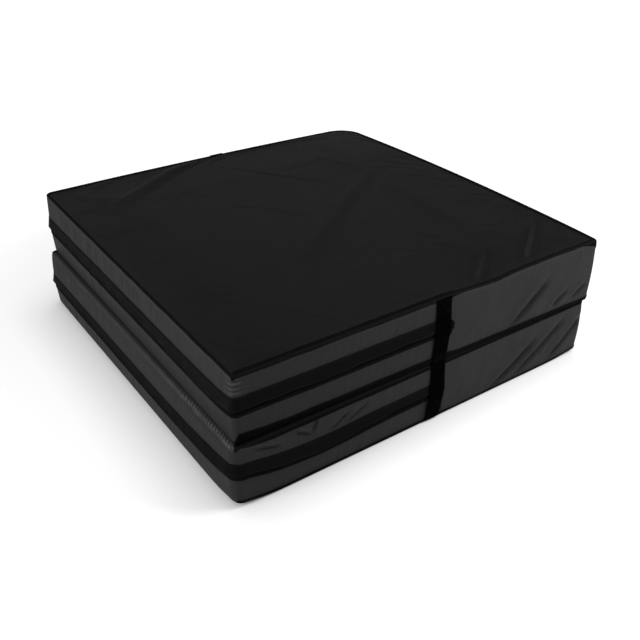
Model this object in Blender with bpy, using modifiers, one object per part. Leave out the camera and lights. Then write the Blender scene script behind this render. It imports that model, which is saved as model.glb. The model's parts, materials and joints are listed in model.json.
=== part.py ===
"""Folding crash mat: two foam sections in zipped fabric covers, hinged by a fabric web.

Metres, +Z up. The origin is the middle of the underside. The mat is modelled folded in half:
+X runs from the free end to the hinge, and the landing faces lie on each other at FOLD_Z.
"""

import math

import bmesh
import bpy
import numpy as np
from mathutils import Matrix

# Driving dimensions of one section
SECTION_HEIGHT = 0.195
FOLD_Z = SECTION_HEIGHT
HALF_LENGTH = 0.6182
HALF_WIDTH = 0.6222
HINGE_X = 0.633

# Cloth layers, measured outwards from the foam
GAP = 0.0003
COVER_CLOTH = 0.001
BINDING_CLOTH = 0.0012
PANEL_FACE = GAP + COVER_CLOTH
BINDING_INNER = PANEL_FACE + GAP
BINDING_FACE = BINDING_INNER + BINDING_CLOTH
FOLD_GAP = 0.00015
FOAM_HEIGHT = SECTION_HEIGHT - 2 * BINDING_FACE - FOLD_GAP
BINDING_LAP = 0.016

# Zip closure, measured from the middle of the coils
STRIP_EDGE = 0.012
TAPE_CLOTH = 0.0008
TAPE_FACE = BINDING_INNER + TAPE_CLOTH
TAPE_INNER_EDGE = 0.0015
TAPE_TOP_EDGE = 0.018
TAPE_BOTTOM_EDGE = 0.022
COIL_EDGES = (0.0008, 0.0032)
COIL_THICKNESS = 0.002
COIL_FACE = TAPE_FACE + GAP + COIL_THICKNESS
FLAP_SEAM = 0.0365
FLAP_EDGE = -0.0035
FLAP_ROWS = (1.0, 0.65, 0.3, 0.0)
FLAP_CLOTH = 0.0012
FLAP_SLOPE = (COIL_FACE + GAP - BINDING_INNER) / (FLAP_SEAM - COIL_EDGES[1])
FLAP_LAID = BINDING_INNER + FLAP_SLOPE * (FLAP_SEAM - FLAP_EDGE)
FLAP_OVER_SLIDER = 0.0115

# Where the zip stops on the far side, and how far short of each end its layers stop
FAR_ZIP_END = -0.040
TAPE_SHORT = 0.001
NEAR_COIL_SHORT = 0.011
NEAR_TAB_SHORT = 0.0097
COIL_SHORT = 0.005
FLAP_SHORT = 0.006
END_TAB_SHORT = 0.004
END_TAB_LENGTH = 0.0135
END_TAB_HALF_HEIGHT = 0.012

# Zip slider and its ribbon pull: the shoulders point the way the zip closes, towards +X
SLIDER_X = -0.060
SLIDER_HALF_LENGTH = 0.009
SLIDER_SHOULDER = 0.006
SLIDER_TAIL = 0.0047
SLIDER_PLATE = 0.001
SLIDER_FLANGE = 0.0009
SLIDER_SOFT_EDGE = 0.0002
POST_LENGTH = 0.005
POST_HALF_HEIGHT = 0.0005
POST_FROM_SHOULDER = 0.001
BRIDGE_OFFSET = 0.008
BRIDGE_RADIUS = 0.0007
BRIDGE_HALF_SPAN = 0.0062
BRIDGE_BEND = 0.0008
BRIDGE_SINK = 0.0006
PULL_WIDTH = 0.008
PULL_LENGTH = 0.034
PULL_CLOTH = 0.0014
PULL_EYE_INNER = 0.0010
PULL_EYE_OUTER = 0.0018
PULL_EYE_STEPS = 12

# Closing straps of 50 mm webbing
STRAP_X = (0.005, 0.055)
STRAP_CLOTH = 0.0016
STRAP_SEAT = BINDING_FACE + GAP
STRAP_OVER_FLAP = FLAP_LAID + FLAP_CLOTH + 2 * GAP
STRAP_OVER_SEAM = STRAP_SEAT + FLAP_CLOTH
STRAP_SPLIT = 0.001
STRAP_TOP_SHORT = 0.0004
STRAP_EDGE_COVER = 0.001
STRAP_AT_SEAM = 0.020
STRAP_AT_TAPE = 0.004
STRAP_AT_HEM = 0.006
TAIL_TIP = 0.010
TAIL_EASE_AT_STRIP = 0.15
TAIL_EASE_AT_BINDING = 0.9
PEEL_AXIS_STAND = 0.0004
PATCH_X = (0.008, 0.052)
PATCH_CLOTH = 0.001
PATCH_HEIGHTS = (0.015, 0.060)
LOOP_SEAT = BINDING_INNER
HOOK_SEAT = LOOP_SEAT + PATCH_CLOTH + GAP
TAIL_SEAT = HOOK_SEAT + PATCH_CLOTH + GAP

# Hinge web
WEB_CLOTH = 0.0008
WEB_LEG = 0.040
WEB_REACH = 0.0003
WEB_PLACES = (0.515, 0.30, 0.0, -0.30, -0.585)

# Reach of a lifted corner and of a raised rim, and the panels' rings as shares of the way out
LIFT_REACH = 0.075
RISE_REACH = 0.2
LEAST_ARC = 0.001
PANEL_RINGS = (0.90, 0.72, 0.45, 0.0)
CROWN_RISE = (0.45, 0.85, 1.0, 1.0)

# Share of the wall's swell on each side, and of the zip's drop and the top's rise at each knot
BULGE_SHARE = {"near": 1.0, "free": 1.0, "far": 1.0, "hinge": 0.5}
DROP_SHARES = (0.0, 1.0, 1.0, 0.8, 0.0)
RISE_SHARES = (0.0, 0.0, 0.0, 0.0, 1.0)

# Corners in plan, and the two that each side runs between, clockwise seen from above
CORNER_SIGNS = {"front": (-1, -1), "left": (-1, 1), "back": (1, 1), "right": (1, -1)}
SIDE_CORNERS = {
    "near": ("right", "front"),
    "free": ("front", "left"),
    "far": ("left", "back"),
    "hinge": ("back", "right"),
}
CORNER_STEPS = {"front": 4, "left": 4, "back": 6, "right": 3}

# Places of the columns along each side, in the order they are walked from the zip's near end
NEAR_PLACES = (0.0, -0.20, -0.42, -0.56)
FREE_PLACES = (-0.56, -0.35, 0.0, 0.35)
FAR_PLACES = (-0.55, -0.49, -0.25, FAR_ZIP_END - GAP)
FAR_PLAIN_PLACES = (FAR_ZIP_END + GAP, 0.25)
HINGE_PLACES = (0.30, 0.0, -0.30)
NEAR_PLAIN_PLACE = 0.35

# Points of a mesh closer than this are one point
MERGE_DISTANCE = 1e-6

# Which of a side's two legs is the outer binding's, and which the landing binding's
OUTER_LEG = 0
LANDING_LEG = 1

# The two sections. Legs are how far the outer and the landing binding reach onto each side. The
# left and the back corner have one shift in Y, so that the slider's track on the far side is straight.
LOWER = {
    "name": "lower",
    "foam_z": BINDING_FACE,
    "shift": {
        "front": (-0.014, -0.0085),
        "left": (-0.0075, 0.002),
        "back": (0.0, 0.002),
        "right": (0.0, 0.002),
    },
    "radii": {"front": 0.024, "left": 0.018, "back": 0.075, "right": 0.014},
    "lift": {"front": 0.014, "left": 0.002, "back": 0.006, "right": 0.009},
    "rise": {"front": 0.0, "left": 0.0, "back": 0.0, "right": 0.0, "far": 0.0, "hinge": 0.0},
    "legs": {
        "near": (0.014, 0.012),
        "free": (0.005, 0.004),
        "far": (0.014, 0.014),
        "hinge": (0.014, 0.014),
    },
    "near_zip_end": 0.050,
    "bulge": 0.006,
    "zip": 0.0845,
    "flap_open": 0.009,
    "zip_drop": {"near": 0.0, "free": -0.010, "far": 0.0, "hinge": 0.0},
    "crown": (-0.0015, 0.0012),
}
UPPER = {
    "name": "upper",
    "foam_z": FOLD_Z + FOLD_GAP + BINDING_FACE,
    "shift": {
        "front": (0.0, 0.003),
        "left": (0.009, 0.003),
        "back": (0.0, 0.003),
        "right": (0.0, -0.009),
    },
    "radii": {"front": 0.012, "left": 0.020, "back": 0.085, "right": 0.012},
    "lift": {"front": 0.0, "left": 0.0, "back": 0.0, "right": 0.0},
    "rise": {
        "front": 0.005,
        "left": 0.013,
        "back": -0.005,
        "right": 0.010,
        "far": 0.006,
        "hinge": 0.012,
    },
    "legs": {
        "near": (0.006, 0.024),
        "free": (0.004, 0.006),
        "far": (0.014, 0.014),
        "hinge": (0.014, 0.014),
    },
    "near_zip_end": 0.065,
    "bulge": 0.005,
    "zip": 0.0975,
    "flap_open": 0.0068,
    "zip_drop": {"near": 0.0, "free": -0.004, "far": 0.0, "hinge": 0.0},
    "crown": (-0.0012, 0.006),
}

# Colour, roughness and metallic value of each finish
FINISHES = {
    "panel_nylon": ((0.016, 0.016, 0.017), 0.55, 0.0),
    "wall_nylon": ((0.040, 0.040, 0.042), 0.60, 0.0),
    "flap_nylon": ((0.012, 0.012, 0.013), 0.55, 0.0),
    "binding_tape": ((0.010, 0.010, 0.011), 0.65, 0.0),
    "zip_tape": ((0.010, 0.010, 0.011), 0.70, 0.0),
    "zip_coil": ((0.010, 0.010, 0.011), 0.30, 0.0),
    "webbing": ((0.006, 0.006, 0.006), 0.75, 0.0),
    "hook_and_loop": ((0.010, 0.010, 0.010), 0.90, 0.0),
    "foam": ((0.34, 0.39, 0.45), 0.95, 0.0),
    "slider_paint": ((0.050, 0.050, 0.055), 0.35, 0.0),
}


def start_scene():
    """Empties the scene and returns the collections for the mat's parts and for the cutters."""
    for old in list(bpy.data.objects):
        bpy.data.objects.remove(old, do_unlink=True)
    folders = []
    for name in ("crash_mat", "cutters"):
        folder = bpy.data.collections.new(name)
        bpy.context.scene.collection.children.link(folder)
        folders.append(folder)
    return folders


def plain_material(name):
    """A Principled BSDF in one of the finishes."""
    colour, roughness, metallic = FINISHES[name]
    material = bpy.data.materials.new(name)
    material.use_nodes = True
    shader = material.node_tree.nodes["Principled BSDF"]
    shader.inputs["Base Color"].default_value = (*colour, 1.0)
    shader.inputs["Roughness"].default_value = roughness
    shader.inputs["Metallic"].default_value = metallic
    return material


def corner_point(section, corner):
    """Where the two sides at a corner would meet in plan."""
    square = np.array(CORNER_SIGNS[corner]) * (HALF_LENGTH, HALF_WIDTH)
    return square + section["shift"][corner]


def side_normal(section, side):
    """The outward normal of a side in plan."""
    first, last = (corner_point(section, corner) for corner in SIDE_CORNERS[side])
    along = (last - first) / np.linalg.norm(last - first)
    return np.array((-along[1], along[0]))


def side_column(section, side, place):
    """A column on a straight side, at a given X on the long sides or Y on the others."""
    first, last = (corner_point(section, corner) for corner in SIDE_CORNERS[side])
    axis = 0 if side in ("near", "far") else 1
    share = (place - first[axis]) / (last[axis] - first[axis])
    return {
        "foot": first + share * (last - first),
        "normal": side_normal(section, side),
        "inset": None,
        "bulge": BULGE_SHARE[side] * section["bulge"],
        "drop": section["zip_drop"][side],
        "legs": np.array(section["legs"][side]),
        "side": side,
        "place": place,
    }


def corner_columns(section, before, after):
    """Columns round the arc of the corner between two sides."""
    corner = SIDE_CORNERS[after][0]
    point = corner_point(section, corner)
    radius = section["radii"][corner]
    n0 = side_normal(section, before)
    n1 = side_normal(section, after)
    bisector = (n0 + n1) / (1 + n0 @ n1)
    start = math.atan2(n0[1], n0[0])
    turn = math.atan2(n1[1], n1[0]) - start
    turn = (turn + math.pi) % (2 * math.pi) - math.pi
    drops = section["zip_drop"]
    legs = section["legs"]
    steps = CORNER_STEPS[corner]
    columns = []
    for k in range(steps + 1):
        share = k / steps
        angle = start + turn * share
        normal = np.array((math.cos(angle), math.sin(angle)))
        swell = (1 - share) * BULGE_SHARE[before] + share * BULGE_SHARE[after]
        columns.append({
            "foot": point - radius * bisector + radius * normal,
            "normal": normal,
            "inset": (point, bisector, radius),
            "bulge": swell * section["bulge"],
            "drop": (1 - share) * drops[before] + share * drops[after],
            "legs": (1 - share) * np.array(legs[before]) + share * np.array(legs[after]),
            "side": corner,
            "place": share,
        })
    return columns


def walk(section, stretches):
    """Columns along straight stretches of side, with the corner arcs between them."""
    columns = []
    before = None
    for side, places in stretches:
        if before is not None:
            columns += corner_columns(section, before, side)
        columns += [side_column(section, side, place) for place in places]
        before = side
    return columns


def zipped_columns(section):
    """Columns of the wall along the zip, from its near end round the free side."""
    near = (section["near_zip_end"] - GAP, *NEAR_PLACES)
    return walk(section, (("near", near), ("free", FREE_PLACES), ("far", FAR_PLACES)))


def plain_columns(section):
    """Columns of the wall without a zip, from the zip's far end round the hinge side."""
    near = (NEAR_PLAIN_PLACE, section["near_zip_end"] + GAP)
    return walk(section, (("far", FAR_PLAIN_PLACES), ("hinge", HINGE_PLACES), ("near", near)))


def wall_knots(section):
    """Heights above the foam's underside at which the faceted side wall may bend."""
    zip_height = section["zip"]
    return (
        0.0,
        zip_height - STRIP_EDGE,
        zip_height + STRIP_EDGE,
        zip_height + FLAP_SEAM,
        FOAM_HEIGHT,
    )


def wall_shift(section, column, height):
    """Outward bulge and zip drop at a height, straight between the wall's knots.

    The bulge is a parabola over the height, nothing at the seams and full half way up.
    """
    knots = wall_knots(section)
    shares = [knot / FOAM_HEIGHT for knot in knots]
    bulges = [column["bulge"] * 4 * share * (1 - share) for share in shares]
    drops = [column["drop"] * share for share in DROP_SHARES]
    return np.interp(height, knots, bulges), np.interp(height, knots, drops)


def corner_lift(section, place, height):
    """How far the cover is lifted at a place in plan, by its nearest corners: less further up."""
    knots = wall_knots(section)
    weight = np.interp(height, knots, [(1 - knot / FOAM_HEIGHT) ** 2 for knot in knots])
    lift = 0.0
    for corner, amount in section["lift"].items():
        distance = np.linalg.norm(place - corner_point(section, corner))
        lift += amount * math.exp(-((distance / LIFT_REACH) ** 2))
    return weight * lift


def top_rise(section, place, height):
    """How far the slack top stands over its plane at a place in plan, with nothing at the flap.

    The corners' rises are blended across the face, and each raised rim adds a hump at its middle.
    """
    rise = section["rise"]
    u = (place[0] / HALF_LENGTH + 1) / 2
    v = (place[1] / HALF_WIDTH + 1) / 2
    blend = (1 - u) * ((1 - v) * rise["front"] + v * rise["left"])
    blend += u * ((1 - v) * rise["right"] + v * rise["back"])
    near_far = math.exp(-(((place[1] - HALF_WIDTH) / RISE_REACH) ** 2))
    near_hinge = math.exp(-(((place[0] - HALF_LENGTH) / RISE_REACH) ** 2))
    blend += rise["far"] * 4 * u * (1 - u) * near_far
    blend += rise["hinge"] * 4 * v * (1 - v) * near_hinge
    return blend * np.interp(height, wall_knots(section), RISE_SHARES)


def wall_point(section, column, height, out):
    """Point on the side wall, a distance out from the foam."""
    bulge, drop = wall_shift(section, column, height)
    foot = column["foot"]
    x, y = foot + (bulge + out) * column["normal"]
    raised = corner_lift(section, foot, height) + top_rise(section, foot, height)
    return (x, y, section["foam_z"] + height + drop + raised)


def rim_place(column, step):
    """Plan position a step out from the foam's edge.

    A corner stepped in past its arc comes to a point.
    """
    if column["inset"] is None:
        return column["foot"] + step * column["normal"]
    point, bisector, radius = column["inset"]
    arc = max(radius + step, LEAST_ARC)
    return point + (step - arc) * bisector + arc * column["normal"]


def face_point(section, column, ring, crown, height):
    """Point on a top or bottom face.

    A ring is a step from the foam's edge, a share of the plan and a share of the crown.
    """
    step, share, rise = ring
    x, y = share * rim_place(column, step)
    place = share * rim_place(column, min(step, 0.0))
    raised = corner_lift(section, place, height) + top_rise(section, place, height)
    return (x, y, section["foam_z"] + height + crown * rise + raised)


def crown_rings():
    """Rings from the binding's edge inwards: flat there, then rising to the crown."""
    rings = [(-BINDING_LAP, 1.0, 0.0)]
    for share, rise in zip(PANEL_RINGS, CROWN_RISE):
        rings.append((-BINDING_LAP, share, rise))
    return rings


def grid_mesh(name, rows, closed):
    """Moves a grid primitive's points onto rows of points, and merges where they meet.

    Columns run clockwise seen from above and rows upwards, so the faces are turned outwards.
    """
    row_count = len(rows)
    if closed:
        rows = [list(row) + [row[0]] for row in rows]
    column_count = len(rows[0])
    bm = bmesh.new()
    bmesh.ops.create_grid(bm, x_segments=column_count - 1, y_segments=row_count - 1, size=1.0)
    for vert in bm.verts:
        across = round((vert.co.x + 1) / 2 * (column_count - 1))
        along = round((vert.co.y + 1) / 2 * (row_count - 1))
        vert.co = rows[along][across]
    bmesh.ops.remove_doubles(bm, verts=bm.verts, dist=MERGE_DISTANCE)
    bmesh.ops.reverse_faces(bm, faces=bm.faces)
    mesh = bpy.data.meshes.new(name)
    bm.to_mesh(mesh)
    bm.free()
    return mesh


def add_part(name, mesh, material, folder):
    """Links a part with its material."""
    part = bpy.data.objects.new(name, mesh)
    mesh.materials.append(material)
    folder.objects.link(part)
    return part


def cloth(name, rows, thickness, material, folder, closed=False):
    """A sheet through rows of points, thickened to the side its faces point to."""
    part = add_part(name, grid_mesh(name, rows, closed), material, folder)
    thicken = part.modifiers.new("cloth", "SOLIDIFY")
    thicken.thickness = thickness
    thicken.offset = 1.0
    thicken.use_even_offset = True
    return part


def wall_rows(section, columns, levels):
    """Rows of wall points, one for each (height, distance out)."""
    return [[wall_point(section, c, height, out) for c in columns] for height, out in levels]


def foam_core(section, columns, material, folder):
    """The foam block: crowned faces, and sides that swell between the seams."""
    low, high = section["crown"]
    rings = crown_rings()
    rows = [[face_point(section, c, ring, low, 0.0) for c in columns] for ring in reversed(rings)]
    rows += wall_rows(section, columns, [(height, 0.0) for height in wall_knots(section)])
    rows += [[face_point(section, c, ring, high, FOAM_HEIGHT) for c in columns] for ring in rings]
    name = section["name"] + "_foam_core"
    return add_part(name, grid_mesh(name, rows, closed=True), material, folder)


def panel(name, section, columns, top, material, folder):
    """A top or bottom panel of the cover, lying on the foam."""
    crown = section["crown"][1 if top else 0]
    height = FOAM_HEIGHT + GAP if top else -GAP
    rings = [(PANEL_FACE, 1.0, 0.0)] + crown_rings()
    if not top:
        rings.reverse()
    rows = [[face_point(section, c, ring, crown, height) for c in columns] for ring in rings]
    return cloth(name, rows, COVER_CLOTH, material, folder, closed=True)


def binding(name, section, columns, top, material, folder):
    """The edge binding, folded over a panel's rim and the edge of the side wall."""
    face = FOAM_HEIGHT + BINDING_INNER if top else -BINDING_INNER
    leg = OUTER_LEG if name.endswith("outer_binding") else LANDING_LEG
    reaches = [c["legs"][leg] for c in columns]
    legs = [FOAM_HEIGHT - reach if top else reach for reach in reaches]
    lap = [face_point(section, c, (-BINDING_LAP, 1.0, 0.0), 0.0, face) for c in columns]
    fold = [face_point(section, c, (BINDING_INNER, 1.0, 0.0), 0.0, face) for c in columns]
    hem = [wall_point(section, c, height, BINDING_INNER) for c, height in zip(columns, legs)]
    rows = [hem, fold, lap] if top else [lap, fold, hem]
    return cloth(name, rows, BINDING_CLOTH, material, folder, closed=True)


def cover_walls(section, zipped, plain, material, folder):
    """The side wall: two strips along the zip, and one plain wall round the hinge side."""
    knots = wall_knots(section)
    pieces = (
        ("wall_strip_bottom", zipped, knots[:2]),
        ("wall_strip_top", zipped, knots[2:]),
        ("plain_wall", plain, knots),
    )
    for label, columns, heights in pieces:
        rows = wall_rows(section, columns, [(height, GAP) for height in heights])
        cloth(f"{section['name']}_{label}", rows, COVER_CLOTH, material, folder)


def zip_run(section, zipped, near_end, far_end):
    """The zip's columns with its two ends moved to the given places."""
    first = side_column(section, "near", near_end)
    last = side_column(section, "far", far_end)
    return [first] + zipped[1:-1] + [last]


def zip_levels(section, sign, edges, out):
    """Levels of a zip layer above (+1) or below (-1) the coils' middle, from the bottom up."""
    levels = [(section["zip"] + sign * edge, out) for edge in edges]
    return levels if sign > 0 else levels[::-1]


def zip_tapes(section, zipped, material, folder):
    """The two zip tapes, sewn behind the edges of the wall strips' opening."""
    near_end = section["near_zip_end"] - TAPE_SHORT
    columns = zip_run(section, zipped, near_end, FAR_ZIP_END - TAPE_SHORT)
    for label, sign, outer in (("top", 1, TAPE_TOP_EDGE), ("bottom", -1, TAPE_BOTTOM_EDGE)):
        levels = zip_levels(section, sign, (TAPE_INNER_EDGE, STRIP_EDGE, outer), BINDING_INNER)
        name = f"{section['name']}_zip_tape_{label}"
        cloth(name, wall_rows(section, columns, levels), TAPE_CLOTH, material, folder)


def zip_coils(section, zipped, material, folder):
    """The two coil rows on the tapes' inner edges, as beads."""
    near_end = section["near_zip_end"] - NEAR_COIL_SHORT
    columns = zip_run(section, zipped, near_end, FAR_ZIP_END - COIL_SHORT)
    for label, sign in (("top", 1), ("bottom", -1)):
        levels = zip_levels(section, sign, COIL_EDGES, TAPE_FACE + GAP)
        name = f"{section['name']}_zip_coil_{label}"
        cloth(name, wall_rows(section, columns, levels), COIL_THICKNESS, material, folder)


def flap_stand(section, column):
    """How far the flap's free edge stands off the foam at a column."""
    side = column["side"]
    stand = section["flap_open"]
    if side == "far":
        return FLAP_OVER_SLIDER
    if side == "left":
        return stand + (FLAP_OVER_SLIDER - stand) * column["place"]
    if side == "near" and column["place"] >= NEAR_PLACES[0]:
        return FLAP_LAID
    return stand


def zip_flap(section, zipped, material, folder):
    """The weather flap, sewn on above the zip and hanging over it."""
    near_end = STRAP_X[1] - STRAP_EDGE_COVER
    columns = zip_run(section, zipped, near_end, FAR_ZIP_END - FLAP_SHORT)
    rows = []
    for share in FLAP_ROWS:
        height = section["zip"] + FLAP_SEAM + share * (FLAP_EDGE - FLAP_SEAM)
        row = []
        for column in columns:
            out = BINDING_INNER + share * (flap_stand(section, column) - BINDING_INNER)
            row.append(wall_point(section, column, height, out))
        rows.append(row)
    cloth(f"{section['name']}_zip_flap", rows, FLAP_CLOTH, material, folder)


def zip_end_tabs(section, material, folder):
    """A small tab sewn over each end of the zip."""
    heights = (section["zip"] - END_TAB_HALF_HEIGHT, section["zip"] + END_TAB_HALF_HEIGHT)
    near_start = section["near_zip_end"] - NEAR_TAB_SHORT
    for side, start in (("near", near_start), ("far", FAR_ZIP_END - END_TAB_SHORT)):
        places = [start, start + END_TAB_LENGTH]
        if side == "near":
            places.reverse()
        columns = [side_column(section, side, place) for place in places]
        rows = wall_rows(section, columns, [(height, TAPE_FACE + GAP) for height in heights])
        cloth(f"{section['name']}_zip_end_tab_{side}", rows, COVER_CLOTH, material, folder)


def slider_centre(section):
    """The middle of the parked slider, on the foam's side behind the coils."""
    column = side_column(section, "far", SLIDER_X)
    return np.array(wall_point(section, column, section["zip"], 0.0))


def pull_pivot(section):
    """The middle of the slider's bridge, which the pull turns on."""
    return slider_centre(section) + (0.0, BRIDGE_OFFSET, 0.0)


def slider_block(name, centre, along, out, tail, shoulder, folder):
    """A box primitive on the slider whose height tapers from its tail end to its shoulder end."""
    bm = bmesh.new()
    bmesh.ops.create_cube(bm, size=1.0)
    for vert in bm.verts:
        at_shoulder = vert.co.x > 0
        heights = shoulder if at_shoulder else tail
        x = along[1] if at_shoulder else along[0]
        y = out[1] if vert.co.y > 0 else out[0]
        z = heights[1] if vert.co.z > 0 else heights[0]
        vert.co = centre + (x, y, z)
    mesh = bpy.data.meshes.new(name)
    bm.to_mesh(mesh)
    bm.free()
    block = bpy.data.objects.new(name, mesh)
    folder.objects.link(block)
    return block


def slider_bridge(name, centre, foot, folder):
    """The bridge that the pull hangs from: a bent wire on the slider's front plate."""
    half = [
        (BRIDGE_HALF_SPAN, foot),
        (BRIDGE_HALF_SPAN, BRIDGE_OFFSET - BRIDGE_BEND),
        (BRIDGE_HALF_SPAN - BRIDGE_BEND, BRIDGE_OFFSET),
    ]
    arch = [(-along, out) for along, out in half] + half[::-1]
    curve = bpy.data.curves.new(name, "CURVE")
    curve.dimensions = "3D"
    spline = curve.splines.new("POLY")
    spline.points.add(len(arch) - 1)
    for point, (along, out) in zip(spline.points, arch):
        point.co = (*(centre + (along, out, 0.0)), 1.0)
    curve.bevel_depth = BRIDGE_RADIUS
    curve.bevel_resolution = 2
    curve.use_fill_caps = True
    wire = bpy.data.objects.new(name, curve)
    folder.objects.link(wire)
    return curve_to_mesh(wire, folder)


def curve_to_mesh(wire, folder):
    """Replaces a curve object by a mesh object with its caps welded on."""
    name = wire.name
    graph = bpy.context.evaluated_depsgraph_get()
    mesh = bpy.data.meshes.new_from_object(wire.evaluated_get(graph))
    bpy.data.objects.remove(wire, do_unlink=True)
    bm = bmesh.new()
    bm.from_mesh(mesh)
    bmesh.ops.remove_doubles(bm, verts=bm.verts, dist=MERGE_DISTANCE)
    bm.to_mesh(mesh)
    bm.free()
    tube = bpy.data.objects.new(name, mesh)
    folder.objects.link(tube)
    return tube


def join_to(part, tool):
    """Joins a hidden tool body to a part."""
    tool.hide_render = True
    tool.display_type = "WIRE"
    union = part.modifiers.new("join", "BOOLEAN")
    union.operation = "UNION"
    union.solver = "EXACT"
    union.object = tool


def slider_front(name, centre, folder):
    """The slider's front plate with a flange along each edge that reaches back beside the coils.

    A channel section, extruded from the tail and flared to the shoulders.
    """
    edge, inner = SLIDER_TAIL, SLIDER_TAIL - SLIDER_FLANGE
    plate_in = COIL_FACE + GAP
    plate_out = plate_in + SLIDER_PLATE
    flange_end = TAPE_FACE + GAP
    half = [(plate_out, edge), (flange_end, edge), (flange_end, inner), (plate_in, inner)]
    channel = half + [(out, -height) for out, height in reversed(half)]
    bm = bmesh.new()
    tail = [bm.verts.new(centre + (-SLIDER_HALF_LENGTH, out, height)) for out, height in channel]
    face = bm.faces.new(tail)
    grown = bmesh.ops.extrude_face_region(bm, geom=[face])["geom"]
    for vert in grown:
        if isinstance(vert, bmesh.types.BMVert):
            vert.co.x += 2 * SLIDER_HALF_LENGTH
            vert.co.z = centre[2] + (vert.co.z - centre[2]) * SLIDER_SHOULDER / SLIDER_TAIL
    bmesh.ops.recalc_face_normals(bm, faces=bm.faces)
    mesh = bpy.data.meshes.new(name)
    bm.to_mesh(mesh)
    bm.free()
    front = bpy.data.objects.new(name, mesh)
    folder.objects.link(front)
    edges = front.modifiers.new("soft edges", "BEVEL")
    edges.width = SLIDER_SOFT_EDGE
    edges.segments = 1
    return front


def zip_slider(section, material, folder, tools):
    """The slider: plates before and behind the coils, a post that parts them, and a bridge."""
    name = section["name"] + "_zip_slider"
    centre = slider_centre(section)
    slider = slider_front(name, centre, folder)
    slider.data.materials.append(material)
    plate_in = COIL_FACE + GAP
    length = (-SLIDER_HALF_LENGTH, SLIDER_HALF_LENGTH)
    tail = (-SLIDER_TAIL, SLIDER_TAIL)
    shoulder = (-SLIDER_SHOULDER, SLIDER_SHOULDER)
    back = slider_block(name + "_back", centre, length, (GAP, PANEL_FACE), tail, shoulder, tools)
    post_end = SLIDER_HALF_LENGTH - POST_FROM_SHOULDER
    post_along = (post_end - POST_LENGTH, post_end)
    post_out = (GAP + COVER_CLOTH / 2, plate_in + SLIDER_PLATE / 2)
    post_height = (-POST_HALF_HEIGHT, POST_HALF_HEIGHT)
    post = slider_block(
        name + "_post", centre, post_along, post_out, post_height, post_height, tools
    )
    bridge = slider_bridge(name + "_bridge", centre, plate_in + SLIDER_PLATE - BRIDGE_SINK, tools)
    for tool in (post, back, bridge):
        join_to(slider, tool)
    return slider


def ring_points(radius, start, turn, steps):
    """Points along an arc, measured from straight down."""
    angles = [start + turn * k / steps for k in range(steps + 1)]
    return [(radius * math.sin(angle), -radius * math.cos(angle)) for angle in angles]


def zip_pull(section, material, folder):
    """The ribbon pull: an eye round the slider's bridge and a tongue that hangs from it."""
    half = PULL_CLOTH / 2
    start = math.asin(half / PULL_EYE_OUTER)
    outline = ring_points(PULL_EYE_OUTER, start, 2 * math.pi - 2 * start, PULL_EYE_STEPS)
    outline += [(-half, -PULL_LENGTH), (half, -PULL_LENGTH)]
    hole = ring_points(PULL_EYE_INNER, 0.0, -2 * math.pi, PULL_EYE_STEPS)[:-1]
    name = section["name"] + "_zip_pull"
    curve = bpy.data.curves.new(name, "CURVE")
    curve.dimensions = "2D"
    curve.fill_mode = "BOTH"
    curve.extrude = PULL_WIDTH / 2
    for points in (outline, hole):
        spline = curve.splines.new("POLY")
        spline.points.add(len(points) - 1)
        spline.use_cyclic_u = True
        for point, (across, up) in zip(spline.points, points):
            point.co = (across, up, 0.0, 1.0)
    curve.materials.append(material)
    pull = bpy.data.objects.new(name, curve)
    folder.objects.link(pull)
    pull.location = pull_pivot(section)
    pull.rotation_euler = (math.pi / 2, 0.0, math.pi / 2)
    return pull


def strap_columns(section, side, places):
    """Columns at a strap's or patch's two edges, in walking order."""
    ordered = places if side == "far" else tuple(reversed(places))
    return [side_column(section, side, place) for place in ordered]


def strap_rows(section, path, side):
    """Rows across a strap from its path of (height, distance out)."""
    return wall_rows(section, strap_columns(section, side, STRAP_X), path)


def strap_anchor(side, material, folder):
    """The part of a closing strap that is sewn down the upper section's side."""
    middle = UPPER["zip"]
    path = [
        (STRAP_SPLIT - BINDING_FACE - FOLD_GAP, STRAP_SEAT),
        (STRAP_AT_SEAM, STRAP_SEAT),
        (middle - TAPE_BOTTOM_EDGE - STRAP_AT_TAPE, STRAP_SEAT),
        (middle - STRAP_AT_HEM, STRAP_OVER_FLAP),
        (middle + STRIP_EDGE, STRAP_OVER_FLAP),
        (middle + FLAP_SEAM, STRAP_OVER_SEAM),
        (FOAM_HEIGHT - STRAP_AT_SEAM, STRAP_SEAT),
        (FOAM_HEIGHT + BINDING_FACE - STRAP_TOP_SHORT, STRAP_SEAT),
    ]
    cloth(f"strap_{side}_anchor", strap_rows(UPPER, path, side), STRAP_CLOTH, material, folder)


def strap_overhang(side):
    """How much further out the upper section's side stands than the lower one's, at the strap."""
    middle = sum(STRAP_X) / 2
    feet = [side_column(section, side, middle)["foot"] for section in (UPPER, LOWER)]
    return abs(feet[0][1]) - abs(feet[1][1])


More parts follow.
